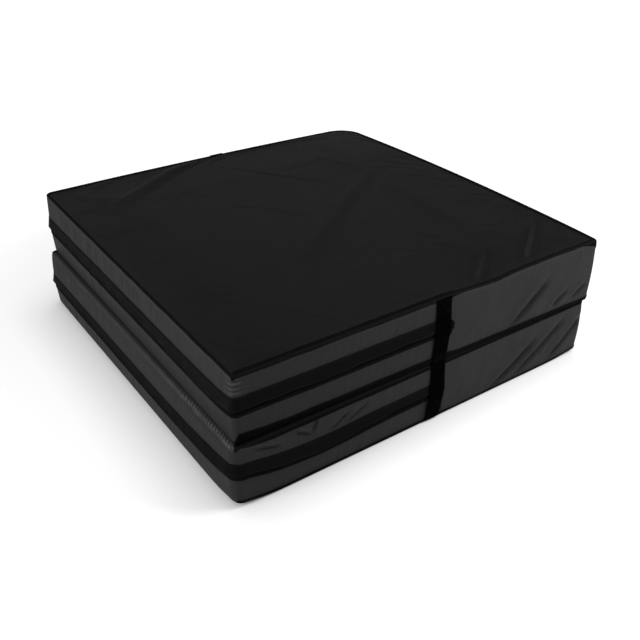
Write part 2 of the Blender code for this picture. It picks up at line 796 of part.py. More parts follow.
def strap_tail(side, material, folder):
    """The free tail of a closing strap, over the lower section's side.

    It starts in line with the upper section's side and eases in to the lower one's.
    """
    middle = LOWER["zip"]
    overhang = strap_overhang(side)
    top = STRAP_SEAT + overhang
    path = [
        (PATCH_HEIGHTS[0] - TAIL_TIP, TAIL_SEAT),
        (PATCH_HEIGHTS[0], TAIL_SEAT),
        (PATCH_HEIGHTS[1], TAIL_SEAT),
        (middle - STRAP_AT_HEM, STRAP_OVER_FLAP),
        (middle + STRIP_EDGE, STRAP_OVER_FLAP + TAIL_EASE_AT_STRIP * overhang),
        (middle + FLAP_SEAM, max(STRAP_OVER_SEAM, (STRAP_OVER_FLAP + top) / 2)),
        (FOAM_HEIGHT - STRAP_AT_SEAM, STRAP_SEAT + TAIL_EASE_AT_BINDING * overhang),
        (FOAM_HEIGHT + BINDING_FACE - STRAP_SPLIT, top),
    ]
    cloth(f"strap_{side}_tail", strap_rows(LOWER, path, side), STRAP_CLOTH, material, folder)


def strap_patches(side, material, folder):
    """Loop patch on the lower section's wall and hook patch on the strap's tail."""
    columns = strap_columns(LOWER, side, PATCH_X)
    for label, seat in (("loop", LOOP_SEAT), ("hook", HOOK_SEAT)):
        rows = wall_rows(LOWER, columns, [(height, seat) for height in PATCH_HEIGHTS])
        cloth(f"strap_{side}_{label}_patch", rows, PATCH_CLOTH, material, folder)


def strap_pivot(side):
    """Where a strap's tail bends away from its anchor: along the split, just off its outer face."""
    middle = sum(STRAP_X) / 2
    foot = side_column(UPPER, side, middle)["foot"]
    stand = STRAP_SEAT + STRAP_CLOTH + PEEL_AXIS_STAND
    return (middle, math.copysign(abs(foot[1]) + stand, foot[1]), FOLD_Z)


def hinge_web(section, top, material, folder):
    """Half of the fabric hinge: sewn on the hinge side's wall, then out to the hinge line."""
    columns = [side_column(section, "hinge", place) for place in WEB_PLACES]
    reach = HINGE_X - WEB_REACH - HALF_LENGTH
    edge = FOAM_HEIGHT + BINDING_FACE - FOLD_GAP if top else FOLD_GAP - BINDING_FACE
    leg = FOAM_HEIGHT - WEB_LEG if top else WEB_LEG
    levels = [(leg, STRAP_SEAT), (edge, STRAP_SEAT), (edge, reach)]
    if not top:
        levels.reverse()
    name = section["name"] + "_hinge_web"
    cloth(name, wall_rows(section, columns, levels), WEB_CLOTH, material, folder)


def build_section(section, materials, folder, tools):
    """All pieces of one section."""
    name = section["name"]
    zipped = zipped_columns(section)
    plain = plain_columns(section)
    columns = zipped + plain
    outer_is_top = section is UPPER
    outer_name = f"{name}_top_panel" if outer_is_top else f"{name}_base_panel"
    foam_core(section, columns, materials["foam"], folder)
    nylon = materials["panel_nylon"]
    tape = materials["binding_tape"]
    panel(outer_name, section, columns, outer_is_top, nylon, folder)
    panel(f"{name}_landing_panel", section, columns, not outer_is_top, nylon, folder)
    cover_walls(section, zipped, plain, materials["wall_nylon"], folder)
    binding(f"{name}_outer_binding", section, columns, outer_is_top, tape, folder)
    binding(f"{name}_landing_binding", section, columns, not outer_is_top, tape, folder)
    zip_tapes(section, zipped, materials["zip_tape"], folder)
    zip_coils(section, zipped, materials["zip_coil"], folder)
    zip_flap(section, zipped, materials["flap_nylon"], folder)
    zip_end_tabs(section, tape, folder)
    zip_slider(section, materials["slider_paint"], folder, tools)
    zip_pull(section, tape, folder)
    hinge_web(section, not outer_is_top, materials["flap_nylon"], folder)


def carry(name, place, pieces, folder, parent=None):
    """Puts an empty on a joint's axis and parents to it, unmoved, the pieces that it moves."""
    axis = bpy.data.objects.new(name, None)
    folder.objects.link(axis)
    axis.parent = parent
    if parent is not None:
        axis.matrix_parent_inverse = parent.matrix_world.inverted()
    axis.location = place
    bpy.context.view_layer.update()
    for piece in pieces:
        piece.parent = axis
        piece.matrix_parent_inverse = Matrix.Translation(place).inverted()
    return axis


def joint_axes(folder):
    """Empties on the joint axes: the fold, the two peeling straps and the two zip tracks."""
    parts = folder.objects
    upper = [part for part in parts if part.name.startswith("upper_")]
    upper = [part for part in upper if not part.name.endswith(("_slider", "_pull"))]
    upper += [parts["strap_near_anchor"], parts["strap_far_anchor"]]
    fold = carry("fold_axis", (HINGE_X, 0.0, FOLD_Z), upper, folder)
    for side in ("near", "far"):
        moved = [parts[f"strap_{side}_tail"], parts[f"strap_{side}_hook_patch"]]
        carry(f"strap_{side}_axis", strap_pivot(side), moved, folder, fold)
    for section, carrier in ((LOWER, None), (UPPER, fold)):
        name = section["name"]
        moved = [parts[f"{name}_zip_slider"], parts[f"{name}_zip_pull"]]
        carry(f"{name}_zip_track", slider_centre(section), moved, folder, carrier)


def main():
    """Builds the two sections, the closing straps and the empties on the joint axes."""
    folder, tools = start_scene()
    materials = {name: plain_material(name) for name in FINISHES}
    for section in (LOWER, UPPER):
        build_section(section, materials, folder, tools)
    for side in ("near", "far"):
        strap_anchor(side, materials["webbing"], folder)
        strap_tail(side, materials["webbing"], folder)
        strap_patches(side, materials["hook_and_loop"], folder)
    joint_axes(folder)


main()
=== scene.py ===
"""Looks for a folding crash mat, laid out as an add-on that is run as a script.

Every new piece is a grid of points worked out with numpy. The grids follow one skin: a section's
outline, walked clockwise seen from above, and its side wall, with the same swell, creases and
puckers for every layer of cloth that lies on it.
"""

import json
import math

import bmesh
import bpy
import numpy as np
from bpy.props import FloatProperty, FloatVectorProperty, IntProperty, PointerProperty
from bpy.types import Operator, Panel, PropertyGroup
from mathutils import Euler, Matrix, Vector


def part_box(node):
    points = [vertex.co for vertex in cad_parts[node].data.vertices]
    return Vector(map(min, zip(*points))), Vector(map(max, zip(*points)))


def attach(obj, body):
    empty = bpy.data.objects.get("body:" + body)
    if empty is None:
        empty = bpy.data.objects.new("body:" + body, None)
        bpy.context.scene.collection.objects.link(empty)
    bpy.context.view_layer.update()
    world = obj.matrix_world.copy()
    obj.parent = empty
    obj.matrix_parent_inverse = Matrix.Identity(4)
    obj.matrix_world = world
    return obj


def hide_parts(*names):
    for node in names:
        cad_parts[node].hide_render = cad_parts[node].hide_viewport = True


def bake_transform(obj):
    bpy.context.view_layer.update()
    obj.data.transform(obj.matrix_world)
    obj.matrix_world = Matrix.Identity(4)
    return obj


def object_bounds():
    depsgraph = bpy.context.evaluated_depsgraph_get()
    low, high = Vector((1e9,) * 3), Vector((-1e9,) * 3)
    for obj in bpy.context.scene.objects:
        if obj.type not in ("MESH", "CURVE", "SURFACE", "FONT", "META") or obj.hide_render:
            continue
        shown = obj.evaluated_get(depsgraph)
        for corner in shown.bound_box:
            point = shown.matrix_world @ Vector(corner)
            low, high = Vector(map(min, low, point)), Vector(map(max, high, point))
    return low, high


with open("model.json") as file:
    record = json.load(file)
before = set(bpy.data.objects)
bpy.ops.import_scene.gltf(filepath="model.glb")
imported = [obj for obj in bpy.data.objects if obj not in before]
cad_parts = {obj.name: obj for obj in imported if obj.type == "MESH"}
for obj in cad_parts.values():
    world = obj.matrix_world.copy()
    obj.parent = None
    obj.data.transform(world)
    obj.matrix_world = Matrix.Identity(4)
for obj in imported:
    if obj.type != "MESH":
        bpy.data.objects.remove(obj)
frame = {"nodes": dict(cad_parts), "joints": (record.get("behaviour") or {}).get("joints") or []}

bl_info = {
    "name": "Folding Crash Mat",
    "version": (1, 0, 0),
    "blender": (4, 5, 0),
    "location": "View3D > Sidebar > Crash Mat",
    "description": "Builds the covers, zips, straps and stage of a folding crash mat",
    "category": "Add Mesh",
}

CAD_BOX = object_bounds()
WALL_LOW, WALL_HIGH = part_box("lower_plain_wall")
FOAM_HEIGHT = WALL_HIGH.z - WALL_LOW.z
FOLD_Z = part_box("lower_landing_binding")[1].z
HALF_LENGTH = 0.6182
HALF_WIDTH = 0.6222

# Seats of the cloth layers, measured outwards from the foam
WALL_SEAT = 0.0006
BINDING_SEAT = 0.0017
TAPE_SEAT = 0.0016
COIL_SEAT = 0.0036
EDGE_RADIUS = 0.004
PANEL_MARGIN = 0.004
HIDDEN_MARGIN = 0.011
SHELF_MARGIN = 0.023
WALL_WRAP = 0.006
SHELF_WRAP = 0.018
LAP = 0.016
LEAST_ARC = 0.0008

# The zip closure, measured from the middle of its coils
TAPE_INNER_EDGE = 0.0015
STRIP_EDGE = 0.012
TAPE_TOP_EDGE = 0.018
TAPE_BOTTOM_EDGE = 0.022
FLAP_SEAM = 0.0365
FLAP_EDGE = -0.0035
SEAM_TUCK = 0.0065
EDGE_TUCK = 0.0035
STRIP_TUCK = 0.0070
FLAP_LAID = 0.0056
FLAP_OVER_SLIDER = 0.0112
FAR_ZIP_END = -0.040

# The straps: their span, and how far the near one stands from it
STRAP_X = (0.005, 0.055)
STRAP_MIDDLE = sum(STRAP_X) / 2
ACROSS_STRAP = np.linspace(-1.0, 1.0, 15)
NEAR_SLIP = -0.012

# How far each part of a strap stands nearer the free end, and how much further at its foot
STRAP_SHIFTS = {
    "near": {
        "anchor": (NEAR_SLIP, 0.003),
        "tail": (NEAR_SLIP - 0.003, 0.011),
        "patch": (NEAR_SLIP - 0.009, 0.0),
    },
    "far": dict.fromkeys(("anchor", "tail", "patch"), (0.0, 0.0)),
}

# Thicknesses and sizes of the small cloths, the coils and the stitches
ZIP_TAPE = 0.0007
TAPE_STEP = 0.003
FLAP_CLOTH = 0.0008
TAB_CLOTH = 0.0009
TAB_WIDTH = 0.0135
PATCH_CLOTH = 0.0008
PILE = 0.0002
RIBBON = 0.0006
WIRE_INSET = 0.0018
WIRE_RADIUS = 0.00038
WIRE_SIDES = 4
COIL_POINTS = 8
THREAD_LIFT = 0.0001
BOX_PITCH = 0.0042
BOX_COLUMNS = (1, 13)
FOAM_FACE_INSET = -0.0060
FOAM_WALL_INSET = -0.0095

# Corners in plan, and the two that each side runs between, clockwise seen from above
CORNER_SIGNS = {"front": (-1, -1), "left": (-1, 1), "back": (1, 1), "right": (1, -1)}
SIDE_CORNERS = {
    "near": ("right", "front"),
    "free": ("front", "left"),
    "far": ("left", "back"),
    "hinge": ("back", "right"),
}
BULGE_SHARE = {"near": 1.0, "free": 1.0, "far": 1.0, "hinge": 0.5}

# Puckers, wrinkles and folds of the cloth, the painted shade and painted highlight of folds, the grey
# added to abrasion and painted highlights, and how far its lifts, rises and sags reach
LIFT_REACH = 0.075
SEAM_PITCH = 0.0135
WRINKLE_PITCH = 0.0125
WRINKLE_START = 0.008
WRINKLE_REACH = 0.022
FOLD_MEAN = 0.35
# Painted shade in the valleys of the near side's creases, and painted highlight on their ridges, as
# amounts in the point attribute
PAINTED_VALLEY_SHADE = 0.72
PAINTED_RIDGE_HIGHLIGHT = 0.06
# Grey added to the lighter colour for abrasion and painted highlights
RUB_AND_HIGHLIGHT_LIFT = 0.0012
RISE_REACH = 0.2
DIP_X = 0.20
DIP_REACH = 0.10
SAG_X = -0.36
SAG_REACH = 0.16
FRONT_REACH = 0.09

LOWER = {
    "name": "lower",
    "body": "lower_section",
    "foam_z": WALL_LOW.z,
    "shift": {
        "front": (-0.014, -0.0085),
        "left": (-0.0075, 0.002),
        "back": (0.0, 0.002),
        "right": (0.0, 0.002),
    },
    "radii": {"front": 0.024, "left": 0.018, "back": 0.075, "right": 0.014},
    "lift": {"front": 0.014, "left": 0.002, "back": 0.006, "right": 0.009},
    "rise": dict.fromkeys(("front", "left", "back", "right", "far", "hinge", "dip"), 0.0),
    "near_zip_end": 0.038,
    "near_seam": 0.038,
    "bulge": 0.006,
    "zip": 0.0845,
    "flap_open": 0.009,
    "drop": {"strap": 0.0155, "front": 0.031, "sag": -0.014, "free": -0.003, "far": 0.0},
    "front_fade": 0.17,
    "tuck": 1.0,
    "crown": (-0.0015, 0.0012),
    "hems": {"outer": (0.011, 0.008, -0.006, 0.012), "landing": (0.012, 0.012, -0.016, 0.012)},
    "laps": {"outer": (0.016, 0.016, 0.016, 0.016), "landing": (0.026, 0.026, 0.026, 0.026)},
    "corner_hem": 0.0,
    "front_hem": -0.010,
}
UPPER = {
    "name": "upper",
    "body": "upper_section",
    "foam_z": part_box("upper_plain_wall")[0].z,
    "shift": {
        "front": (0.0, 0.003),
        "left": (0.009, 0.003),
        "back": (0.0, 0.003),
        "right": (0.0, -0.009),
    },
    "radii": {"front": 0.012, "left": 0.020, "back": 0.085, "right": 0.012},
    "lift": dict.fromkeys(CORNER_SIGNS, 0.0),
    "rise": {
        "front": 0.005,
        "left": 0.013,
        "back": -0.005,
        "right": 0.010,
        "far": 0.006,
        "hinge": 0.012,
        "dip": 0.008,
    },
    "near_zip_end": 0.053,
    "near_seam": 0.036,
    "bulge": 0.005,
    "zip": 0.0975,
    "flap_open": 0.0068,
    "drop": {"strap": 0.007, "front": 0.007, "sag": -0.002, "free": -0.009, "far": 0.0},
    "front_fade": 0.05,
    "tuck": 0.3,
    "crown": (-0.0012, 0.006),
    "hems": {"outer": (0.005, 0.002, 0.002, 0.010), "landing": (0.020, 0.012, -0.002, 0.014)},
    "laps": {"outer": (0.019, 0.012, 0.0060, 0.012), "landing": (0.018, 0.018, 0.018, 0.018)},
    "corner_hem": 0.012,
    "front_hem": 0.010,
}
SECTIONS = (LOWER, UPPER)

# Creases: start and end, then width, height and the depth of the valley on the right as a share.
# On the top they are X and Y, and on the near side X and Z.
TOP_CREASES = (
    ((-0.455, 0.405), (-0.175, 0.575), 0.018, 0.0050, 0.9),
    ((-0.205, 0.560), (-0.015, 0.630), 0.014, 0.0045, 0.9),
    ((-0.475, 0.575), (-0.355, 0.625), 0.012, 0.0030, 0.8),
    ((-0.025, 0.575), (0.075, 0.625), 0.012, 0.0020, 0.6),
    ((-0.305, -0.325), (0.375, 0.175), 0.022, 0.0034, 0.9),
    ((0.125, -0.610), (0.295, -0.475), 0.014, 0.0060, 0.9),
    ((0.325, -0.600), (0.555, -0.425), 0.015, 0.0080, 0.8),
    ((-0.605, -0.575), (-0.445, -0.605), 0.017, -0.0045, 0.0),
)
NEAR_CREASES = {
    "upper": (
        ((0.270, 0.228), (0.405, 0.341), 0.013, 0.0050, 1.1),
        ((0.445, 0.238), (0.500, 0.280), 0.010, 0.0038, 1.0),
        ((0.528, 0.240), (0.580, 0.276), 0.009, 0.0032, 1.0),
    ),
    "lower": (
        ((0.230, 0.030), (0.395, 0.137), 0.012, 0.0048, 1.1),
        ((0.325, 0.036), (0.525, 0.170), 0.012, 0.0048, 1.1),
        ((0.470, 0.034), (0.600, 0.150), 0.011, 0.0042, 1.1),
        ((-0.575, 0.178), (-0.500, 0.158), 0.0050, 0.0018, 0.5),
        ((-0.455, 0.176), (-0.405, 0.148), 0.0050, 0.0020, 0.5),
        ((-0.380, 0.178), (-0.400, 0.145), 0.0045, 0.0020, 0.5),
        ((-0.355, 0.137), (-0.295, 0.170), 0.0050, 0.0022, 0.5),
        ((-0.300, 0.140), (-0.230, 0.172), 0.0050, 0.0020, 0.5),
    ),
}

# Cells of the noise, rings of a foam face, rows of a binding and points of a rim's arc
NOISE_CELLS = 64
FOAM_RINGS = 44
BINDING_ROWS = 17
ARC_POINTS = 33


def smooth(value, low, high):
    """0 below low, 1 above high, and the cubic 3t^2 - 2t^3 between them."""
    t = np.clip((value - low) / (high - low), 0.0, 1.0)
    return t * t * (3.0 - 2.0 * t)


def bell(distance, reach):
    """A bell: e to the power of minus the square of distance over reach."""
    return np.exp(-((distance / reach) ** 2))


def wave(turns):
    """A cosine wave, 1 at each whole number of turns."""
    return np.cos(2 * math.pi * turns)


def path_run(path):
    """How far along a path each of its points lies: the sum of the steps before it."""
    return np.concatenate(([0.0], np.cumsum(np.linalg.norm(np.diff(path, axis=0), axis=1))))


def along_path(places, run, path):
    """Points at places along a path, blended between the path's own points."""
    return np.stack([np.interp(places, run, values) for values in path.T], axis=1)


def unit(vectors):
    """Each vector over its length."""
    return vectors / np.linalg.norm(vectors, axis=1)[:, None]


def square_to(vectors, along):
    """Unit vectors: the vectors less their share along a direction, over their length."""
    return unit(vectors - (vectors * along).sum(1)[:, None] * along)


def soft_noise(u, v, size_u, size_v, seed):
    """Noise from -1 to 1: random values on a lattice of cells, blended smoothly between them."""
    lattice = np.random.default_rng(seed).uniform(-1.0, 1.0, (NOISE_CELLS, NOISE_CELLS))
    grid_u, grid_v = np.broadcast_arrays(np.asarray(u) / size_u, np.asarray(v) / size_v)
    cell_u, cell_v = np.floor(grid_u).astype(int), np.floor(grid_v).astype(int)
    part_u, part_v = smooth(grid_u - cell_u, 0.0, 1.0), smooth(grid_v - cell_v, 0.0, 1.0)
    here, after = cell_u % NOISE_CELLS, (cell_u + 1) % NOISE_CELLS
    low, high = (
        lattice[here, row] * (1 - part_u) + lattice[after, row] * part_u
        for row in (cell_v % NOISE_CELLS, (cell_v + 1) % NOISE_CELLS)
    )
    return low * (1 - part_v) + high * part_v


def fold_lines(u, v, size_u, size_v, seed):
    """Crisp folds where the noise passes through nothing: one less its size, cubed, less a mean."""
    return (1.0 - np.abs(soft_noise(u, v, size_u, size_v, seed))) ** 3 - FOLD_MEAN


def crease_parts(u, v, start, end, width):
    """A fold along a line as two shares: its bell-shaped ridge, and the valley on its right."""
    start, end = np.array(start), np.array(end)
    length = np.linalg.norm(end - start)
    ahead = (end - start) / length
    along = ((u - start[0]) * ahead[0] + (v - start[1]) * ahead[1]) / length
    left = (v - start[1]) * ahead[0] - (u - start[0]) * ahead[1]
    fade = smooth(along, -0.12, 0.25) * smooth(1.0 - along, -0.12, 0.25)
    return fade * bell(left, width), fade * bell(left + 1.8 * width, width)


def crease(u, v, start, end, width, height, valley):
    """Height of a fold: its ridge, less its valley."""
    ridge, trough = crease_parts(u, v, start, end, width)
    return height * (ridge - valley * trough)


def puckers(along, away, pitch, depth, reach, slant, seed):
    """Gathers at a seam: a wave along it, sheared by slant, that dies away from it."""
    turns = (along + slant * away) / pitch + 0.45 * soft_noise(along, away, 3 * pitch, 1.0, seed)
    return depth * wave(turns) * np.exp(-np.abs(away) / reach)


def corner_point(section, corner):
    """Where the two sides at a corner would meet in plan."""
    return np.array(CORNER_SIGNS[corner]) * (HALF_LENGTH, HALF_WIDTH) + section["shift"][corner]


def from_corner(section, plan, corner):
    """Distance in plan from where the two sides at a corner would meet."""
    return np.linalg.norm(plan - corner_point(section, corner), axis=-1)


def side_normal(section, side):
    """The outward normal of a side in plan."""
    first, last = (corner_point(section, corner) for corner in SIDE_CORNERS[side])
    along = (last - first) / np.linalg.norm(last - first)
    return np.array((-along[1], along[0]))


def corner_arc(section, before, after, count):
    """A corner's arc as count points from the side before it to the side after it."""
    corner = SIDE_CORNERS[after][0]
    n0, n1 = side_normal(section, before), side_normal(section, after)
    bisector = (n0 + n1) / (1 + n0 @ n1)
    start = math.atan2(n0[1], n0[0])
    turn = (math.atan2(n1[1], n1[0]) - start + math.pi) % (2 * math.pi) - math.pi
    share = np.linspace(0.0, 1.0, count)
    normal = np.stack((np.cos(start + turn * share), np.sin(start + turn * share)), 1)
    radius = section["radii"][corner]
    return {
        "point": np.tile(corner_point(section, corner), (count, 1)),
        "bisector": np.tile(bisector, (count, 1)),
        "normal": normal,
        "radius": np.full(count, radius),
        "share": share,
        "length": radius * abs(turn),
    }


# The side before and after each, clockwise seen from above
NEIGHBOUR_BEFORE = {"near": "hinge", "free": "near", "far": "free", "hinge": "far"}
NEIGHBOUR_AFTER = {"near": "free", "free": "far", "far": "hinge", "hinge": "near"}


def plan_points(cols, step):
    """Columns in plan, a step outwards of their outline: each arc's radius grows by the step."""
    arc = np.maximum(cols["radius"][:, None] + step, LEAST_ARC)
    return cols["point"] + (step - arc) * cols["bisector"] + arc * cols["normal"]


def foot_of(cols):
    """Feet of columns: their corner point, less the arc's radius inwards, plus it outwards."""
    radius = cols["radius"][:, None]
    return cols["point"] - radius * cols["bisector"] + radius * cols["normal"]


def straight_line(section, side, start, end, spacing):
    """A straight side between two places, or between the ends of its corner arcs."""
    first, last = (corner_point(section, corner) for corner in SIDE_CORNERS[side])
    axis = 0 if side in ("near", "far") else 1
    if start is None:
        start = foot_of(corner_arc(section, NEIGHBOUR_BEFORE[side], side, 2))[-1][axis]
    if end is None:
        end = foot_of(corner_arc(section, side, NEIGHBOUR_AFTER[side], 2))[0][axis]
    count = max(2, round(abs(end - start) / spacing) + 1)
    share = (np.linspace(start, end, count) - first[axis]) / (last[axis] - first[axis])
    normal = np.tile(side_normal(section, side), (count, 1))
    return {
        "point": first + share[:, None] * (last - first),
        "bisector": normal,
        "normal": normal,
        "radius": np.zeros(count),
    }


def zip_drop(section, side, foot):
    """How far the zip is raised along a side, where it sags is negative.

    On the near side it sags between the strap and the front corner, which it rises to. On the free
    side it falls away from that corner, and rises again at the left one.
    """
    drop = section["drop"]
    from_front = from_corner(section, foot, "front")
    if side == "near":
        sag = drop["sag"] * bell(foot[:, 0] - SAG_X, SAG_REACH)
        return drop["strap"] + sag + bell(from_front, FRONT_REACH) * (drop["front"] - drop["strap"])
    if side == "free":
        at_front = np.exp(-from_front / section["front_fade"])
        return drop["free"] + at_front * (drop["front"] - drop["free"])
    return np.full(len(foot), drop["far"])


def outline(section, stretches, spacing, zipped):
    """Columns along stretches of side, joined by the corner arcs between them."""
    parts = []
    for index, (side, start, end) in enumerate(stretches):
        if index > 0:
            before = stretches[index - 1][0]
            rough = corner_arc(section, before, side, 2)
            count = max(9, round(rough["length"] / spacing) + 1)
            arc = corner_arc(section, before, side, count)
            share = arc.pop("share")
            arc.pop("length")
            foot = foot_of(arc)
            ends = zip_drop(section, before, foot)[:1], zip_drop(section, side, foot)[-1:]
            arc["bulge"] = (1 - share) * BULGE_SHARE[before] + share * BULGE_SHARE[side]
            arc["drop"] = (1 - smooth(share, 0, 1)) * ends[0] + smooth(share, 0, 1) * ends[1]
            parts.append({key: value[1:-1] for key, value in arc.items()})
        line = straight_line(section, side, start, end, spacing)
        line["bulge"] = np.full(len(line["radius"]), BULGE_SHARE[side])
        line["drop"] = zip_drop(section, side, line["point"])
        parts.append(line)
    cols = {key: np.concatenate([part[key] for part in parts]) for key in parts[-1]}
    cols["bulge"] = cols["bulge"] * section["bulge"]
    cols["foot"] = foot_of(cols)
    cols["along"] = path_run(cols["foot"])
    cols["zipped"] = zipped
    if not zipped:
        cols["drop"] = np.zeros(len(cols["drop"]))
    return cols


def zip_outline(section, near_end, far_end, spacing):
    """The columns of the zip: from its near end round the free side to its far end."""
    stretches = (("near", near_end, None), ("free", None, None), ("far", None, far_end))
    return outline(section, stretches, spacing, True)


def plain_outline(section, spacing):
    """The columns of the wall without a zip, round the hinge side."""
    near_end = section["near_seam"]
    stretches = (("far", FAR_ZIP_END, None), ("hinge", None, None), ("near", None, near_end))
    return outline(section, stretches, spacing, False)


def whole_outline(section, spacing):
    """The columns right round a section, without the last, which would be the first again."""
    near_end = section["near_zip_end"]
    stretches = (
        ("near", near_end, None),
        ("free", None, None),
        ("far", None, None),
        ("hinge", None, None),
        ("near", None, near_end + spacing),
    )
    return outline(section, stretches, spacing, False)


def side_shares(cols):
    """How much each column belongs to the near, free and other sides, by its normal."""
    near = smooth(-cols["normal"][:, 1], 0.70, 0.98)
    free = smooth(-cols["normal"][:, 0], 0.70, 0.98)
    return near, free, 1.0 - near - free


def seam_mask(section, cols, height):
    """Where the wall's cloth may crease: not at the bindings, and little along the zip."""
    mask = smooth(height, 0.008, 0.026) * smooth(FOAM_HEIGHT - height, 0.008, 0.026)
    if cols["zipped"]:
        middle = section["zip"]
        over_tape = smooth(height, middle - 0.030, middle - 0.018)
        under_seam = 1.0 - smooth(height, middle + 0.034, middle + 0.044)
        mask = mask * (1.0 - 0.85 * over_tape * under_seam)
    return mask


def wall_height(section, cols, height):
    """Height above the floor's plane of the wall's cloth, with the zip's drop."""
    return section["foam_z"] + height + zip_share(section, height) * cols["drop"]


def wall_creases(section, cols, height):
    """Outward shift of the wall's cloth: listed creases, gathers at the seams, loose folds."""
    near, free, rest = side_shares(cols)
    x = cols["foot"][:, 0]
    z = wall_height(section, cols, height)
    seed = 11 if section is LOWER else 23
    shift = np.zeros(np.broadcast(height, x).shape)
    for line in NEAR_CREASES[section["name"]]:
        shift += near * crease(x, z, *line)
    along = cols["along"] + 0.3
    folds = fold_lines(along, height, 0.060, 0.30, seed)
    slack = fold_lines(along + 0.6 * height, height, 0.110, 0.16, seed + 1)
    fine = fold_lines(along + 0.15 * height, height, 0.024, 0.20, seed + 2)
    here = 0.5 + 0.5 * soft_noise(along, height, 0.12, 0.20, seed + 3)
    shift += (0.0024 * free + 0.0013 * near + 0.0008 * rest) * here * fine
    shift += (0.0012 * free + 0.0004 * near + 0.0009 * rest) * folds
    shift += (0.0006 * free + 0.0008 * near + 0.0012 * rest) * slack
    return shift * seam_mask(section, cols, height) + seam_gathers(section, cols, height)


def seam_strength(cols):
    """How strongly the lower landing seam is gathered: on the free side, most in front."""
    _, free, _ = side_shares(cols)
    return free * (0.35 + 0.65 * smooth(-cols["foot"][:, 1], 0.15, 0.50))


def corner_wrinkles(section, cols, from_top):
    """Short wrinkles stacked at the upper section's front corner: a bell times a wave downwards."""
    at_corner = bell(from_corner(section, cols["foot"], "front"), WRINKLE_REACH)
    return at_corner, wave((from_top - WRINKLE_START) / WRINKLE_PITCH)


def seam_gathers(section, cols, height):
    """Puckers along the bindings' hems, and the stronger ones beside the front corner."""
    x, y = cols["foot"].T
    from_top = FOAM_HEIGHT - height
    seed = 31 if section is LOWER else 37
    away = np.maximum(from_top - 0.002, 0.0)
    hem = smooth(from_top, 0.004, 0.012)
    foot = smooth(height, 0.004, 0.012)
    gathers = hem * puckers(cols["along"], away, 0.019, 0.0005, 0.018, 0.2, seed)
    gathers = gathers + foot * puckers(cols["along"], height, 0.022, 0.0004, 0.018, -0.2, seed + 1)
    if section is UPPER:
        at_corner, wrinkles = corner_wrinkles(section, cols, from_top)
        return gathers + 0.0026 * at_corner * smooth(height, 0.140, 0.150) * hem * wrinkles
    seam = puckers(y, away, SEAM_PITCH, 0.0026, 0.012, 0.9, seed + 2)
    gathers = gathers + smooth(from_top, -0.001, 0.005) * seam_strength(cols) * seam
    near, _, _ = side_shares(cols)
    patch = near * bell(x - 0.31, 0.05) * bell(height - 0.118, 0.020)
    return gathers + 0.0008 * patch * wave((x - 0.3 * height) / WRINKLE_PITCH)


def zip_share(section, height):
    """Share of the zip's drop at a height: all of it at the zip, and none at the seams."""
    middle = section["zip"]
    knots = (0.0, middle - STRIP_EDGE, middle + STRIP_EDGE, middle + FLAP_SEAM, FOAM_HEIGHT)
    return np.interp(height, knots, (0.0, 1.0, 1.0, 0.8, 0.0))


def corner_lift(section, plan, height):
    """How far the cover is lifted near its corners: a bell round each, less further up."""
    bells = (
        amount * bell(from_corner(section, plan, corner), LIFT_REACH)
        for corner, amount in section["lift"].items()
    )
    return sum(bells) * (1.0 - np.clip(height / FOAM_HEIGHT, 0.0, 1.0)) ** 2


def top_rise(section, plan, height):
    """How far the slack top stands over its plane, with nothing at the flap.

    The corners' rises are blended across the face, each raised rim adds a hump at its middle, and
    the near rim has a dip.
    """
    rise = section["rise"]
    x, y = plan[..., 0], plan[..., 1]
    u, v = (x / HALF_LENGTH + 1) / 2, (y / HALF_WIDTH + 1) / 2
    blend = (1 - u) * ((1 - v) * rise["front"] + v * rise["left"])
    blend = blend + u * ((1 - v) * rise["right"] + v * rise["back"])
    blend = blend + rise["far"] * 4 * u * (1 - u) * bell(y - HALF_WIDTH, RISE_REACH)
    blend = blend + rise["hinge"] * 4 * v * (1 - v) * bell(x - HALF_LENGTH, RISE_REACH)
    blend = blend - rise["dip"] * bell(y + HALF_WIDTH, RISE_REACH) * bell(x - DIP_X, DIP_REACH)
    return blend * smooth(height, section["zip"] + FLAP_SEAM, FOAM_HEIGHT)


def as_rows(value):
    """A number or a grid as it is, and a list of numbers as one row each."""
    value = np.asarray(value, float)
    return value[:, None] if value.ndim == 1 else value


def swell_at(height):
    """Share of a section's swell at a height: a parabola, 1 half way up and 0 at both edges."""
    share = np.clip(height / FOAM_HEIGHT, 0.0, 1.0)
    return 4.0 * share * (1.0 - share)


def skin(section, cols, height, out, up=0.0):
    """Points on a section's skin, rows by columns.

    A point is the outline pushed outwards by the swell, the edge's roundness, the creases and
    out, at a height above the foam's underside, and raised by up.
    """
    height, out, up = as_rows(height), as_rows(out), as_rows(up)
    total = out + cols["bulge"] * swell_at(height) + wall_creases(section, cols, height)
    plan = plan_points(cols, total[..., None])
    raised = corner_lift(section, cols["foot"], height) + top_rise(section, cols["foot"], height)
    z = np.broadcast_to(wall_height(section, cols, height) + raised + up, plan.shape[:2])
    return np.concatenate((plan, z[..., None]), axis=2)


def rim_distance(section, plan):
    """Distance in from the nearest side of a section, in plan."""
    distances = []
    for side, (first, _) in SIDE_CORNERS.items():
        inwards = -side_normal(section, side)
        distances.append((plan - corner_point(section, first)) @ inwards)
    return np.min(distances, axis=0)


def face_shape(section, plan, top):
    """Height of a face over its rim: the crown, the long creases and slack cloth."""
    inward = rim_distance(section, plan)
    shape = section["crown"][1 if top else 0] * smooth(inward, LAP, 0.26)
    loose = smooth(inward, 0.006, 0.045)
    x, y = plan[..., 0], plan[..., 1]
    if top and section is UPPER:
        for line in TOP_CREASES:
            shape = shape + loose * crease(x, y, *line)
        return shape + loose * 0.0010 * soft_noise(x + 0.7 * y, y - 0.7 * x, 0.34, 0.16, 5)
    if section is LOWER and not top:
        return shape
    away = 1.0 if top else -1.0
    return shape + away * loose * 0.0004 * fold_lines(x + 0.4 * y, y, 0.30, 0.20, 7)


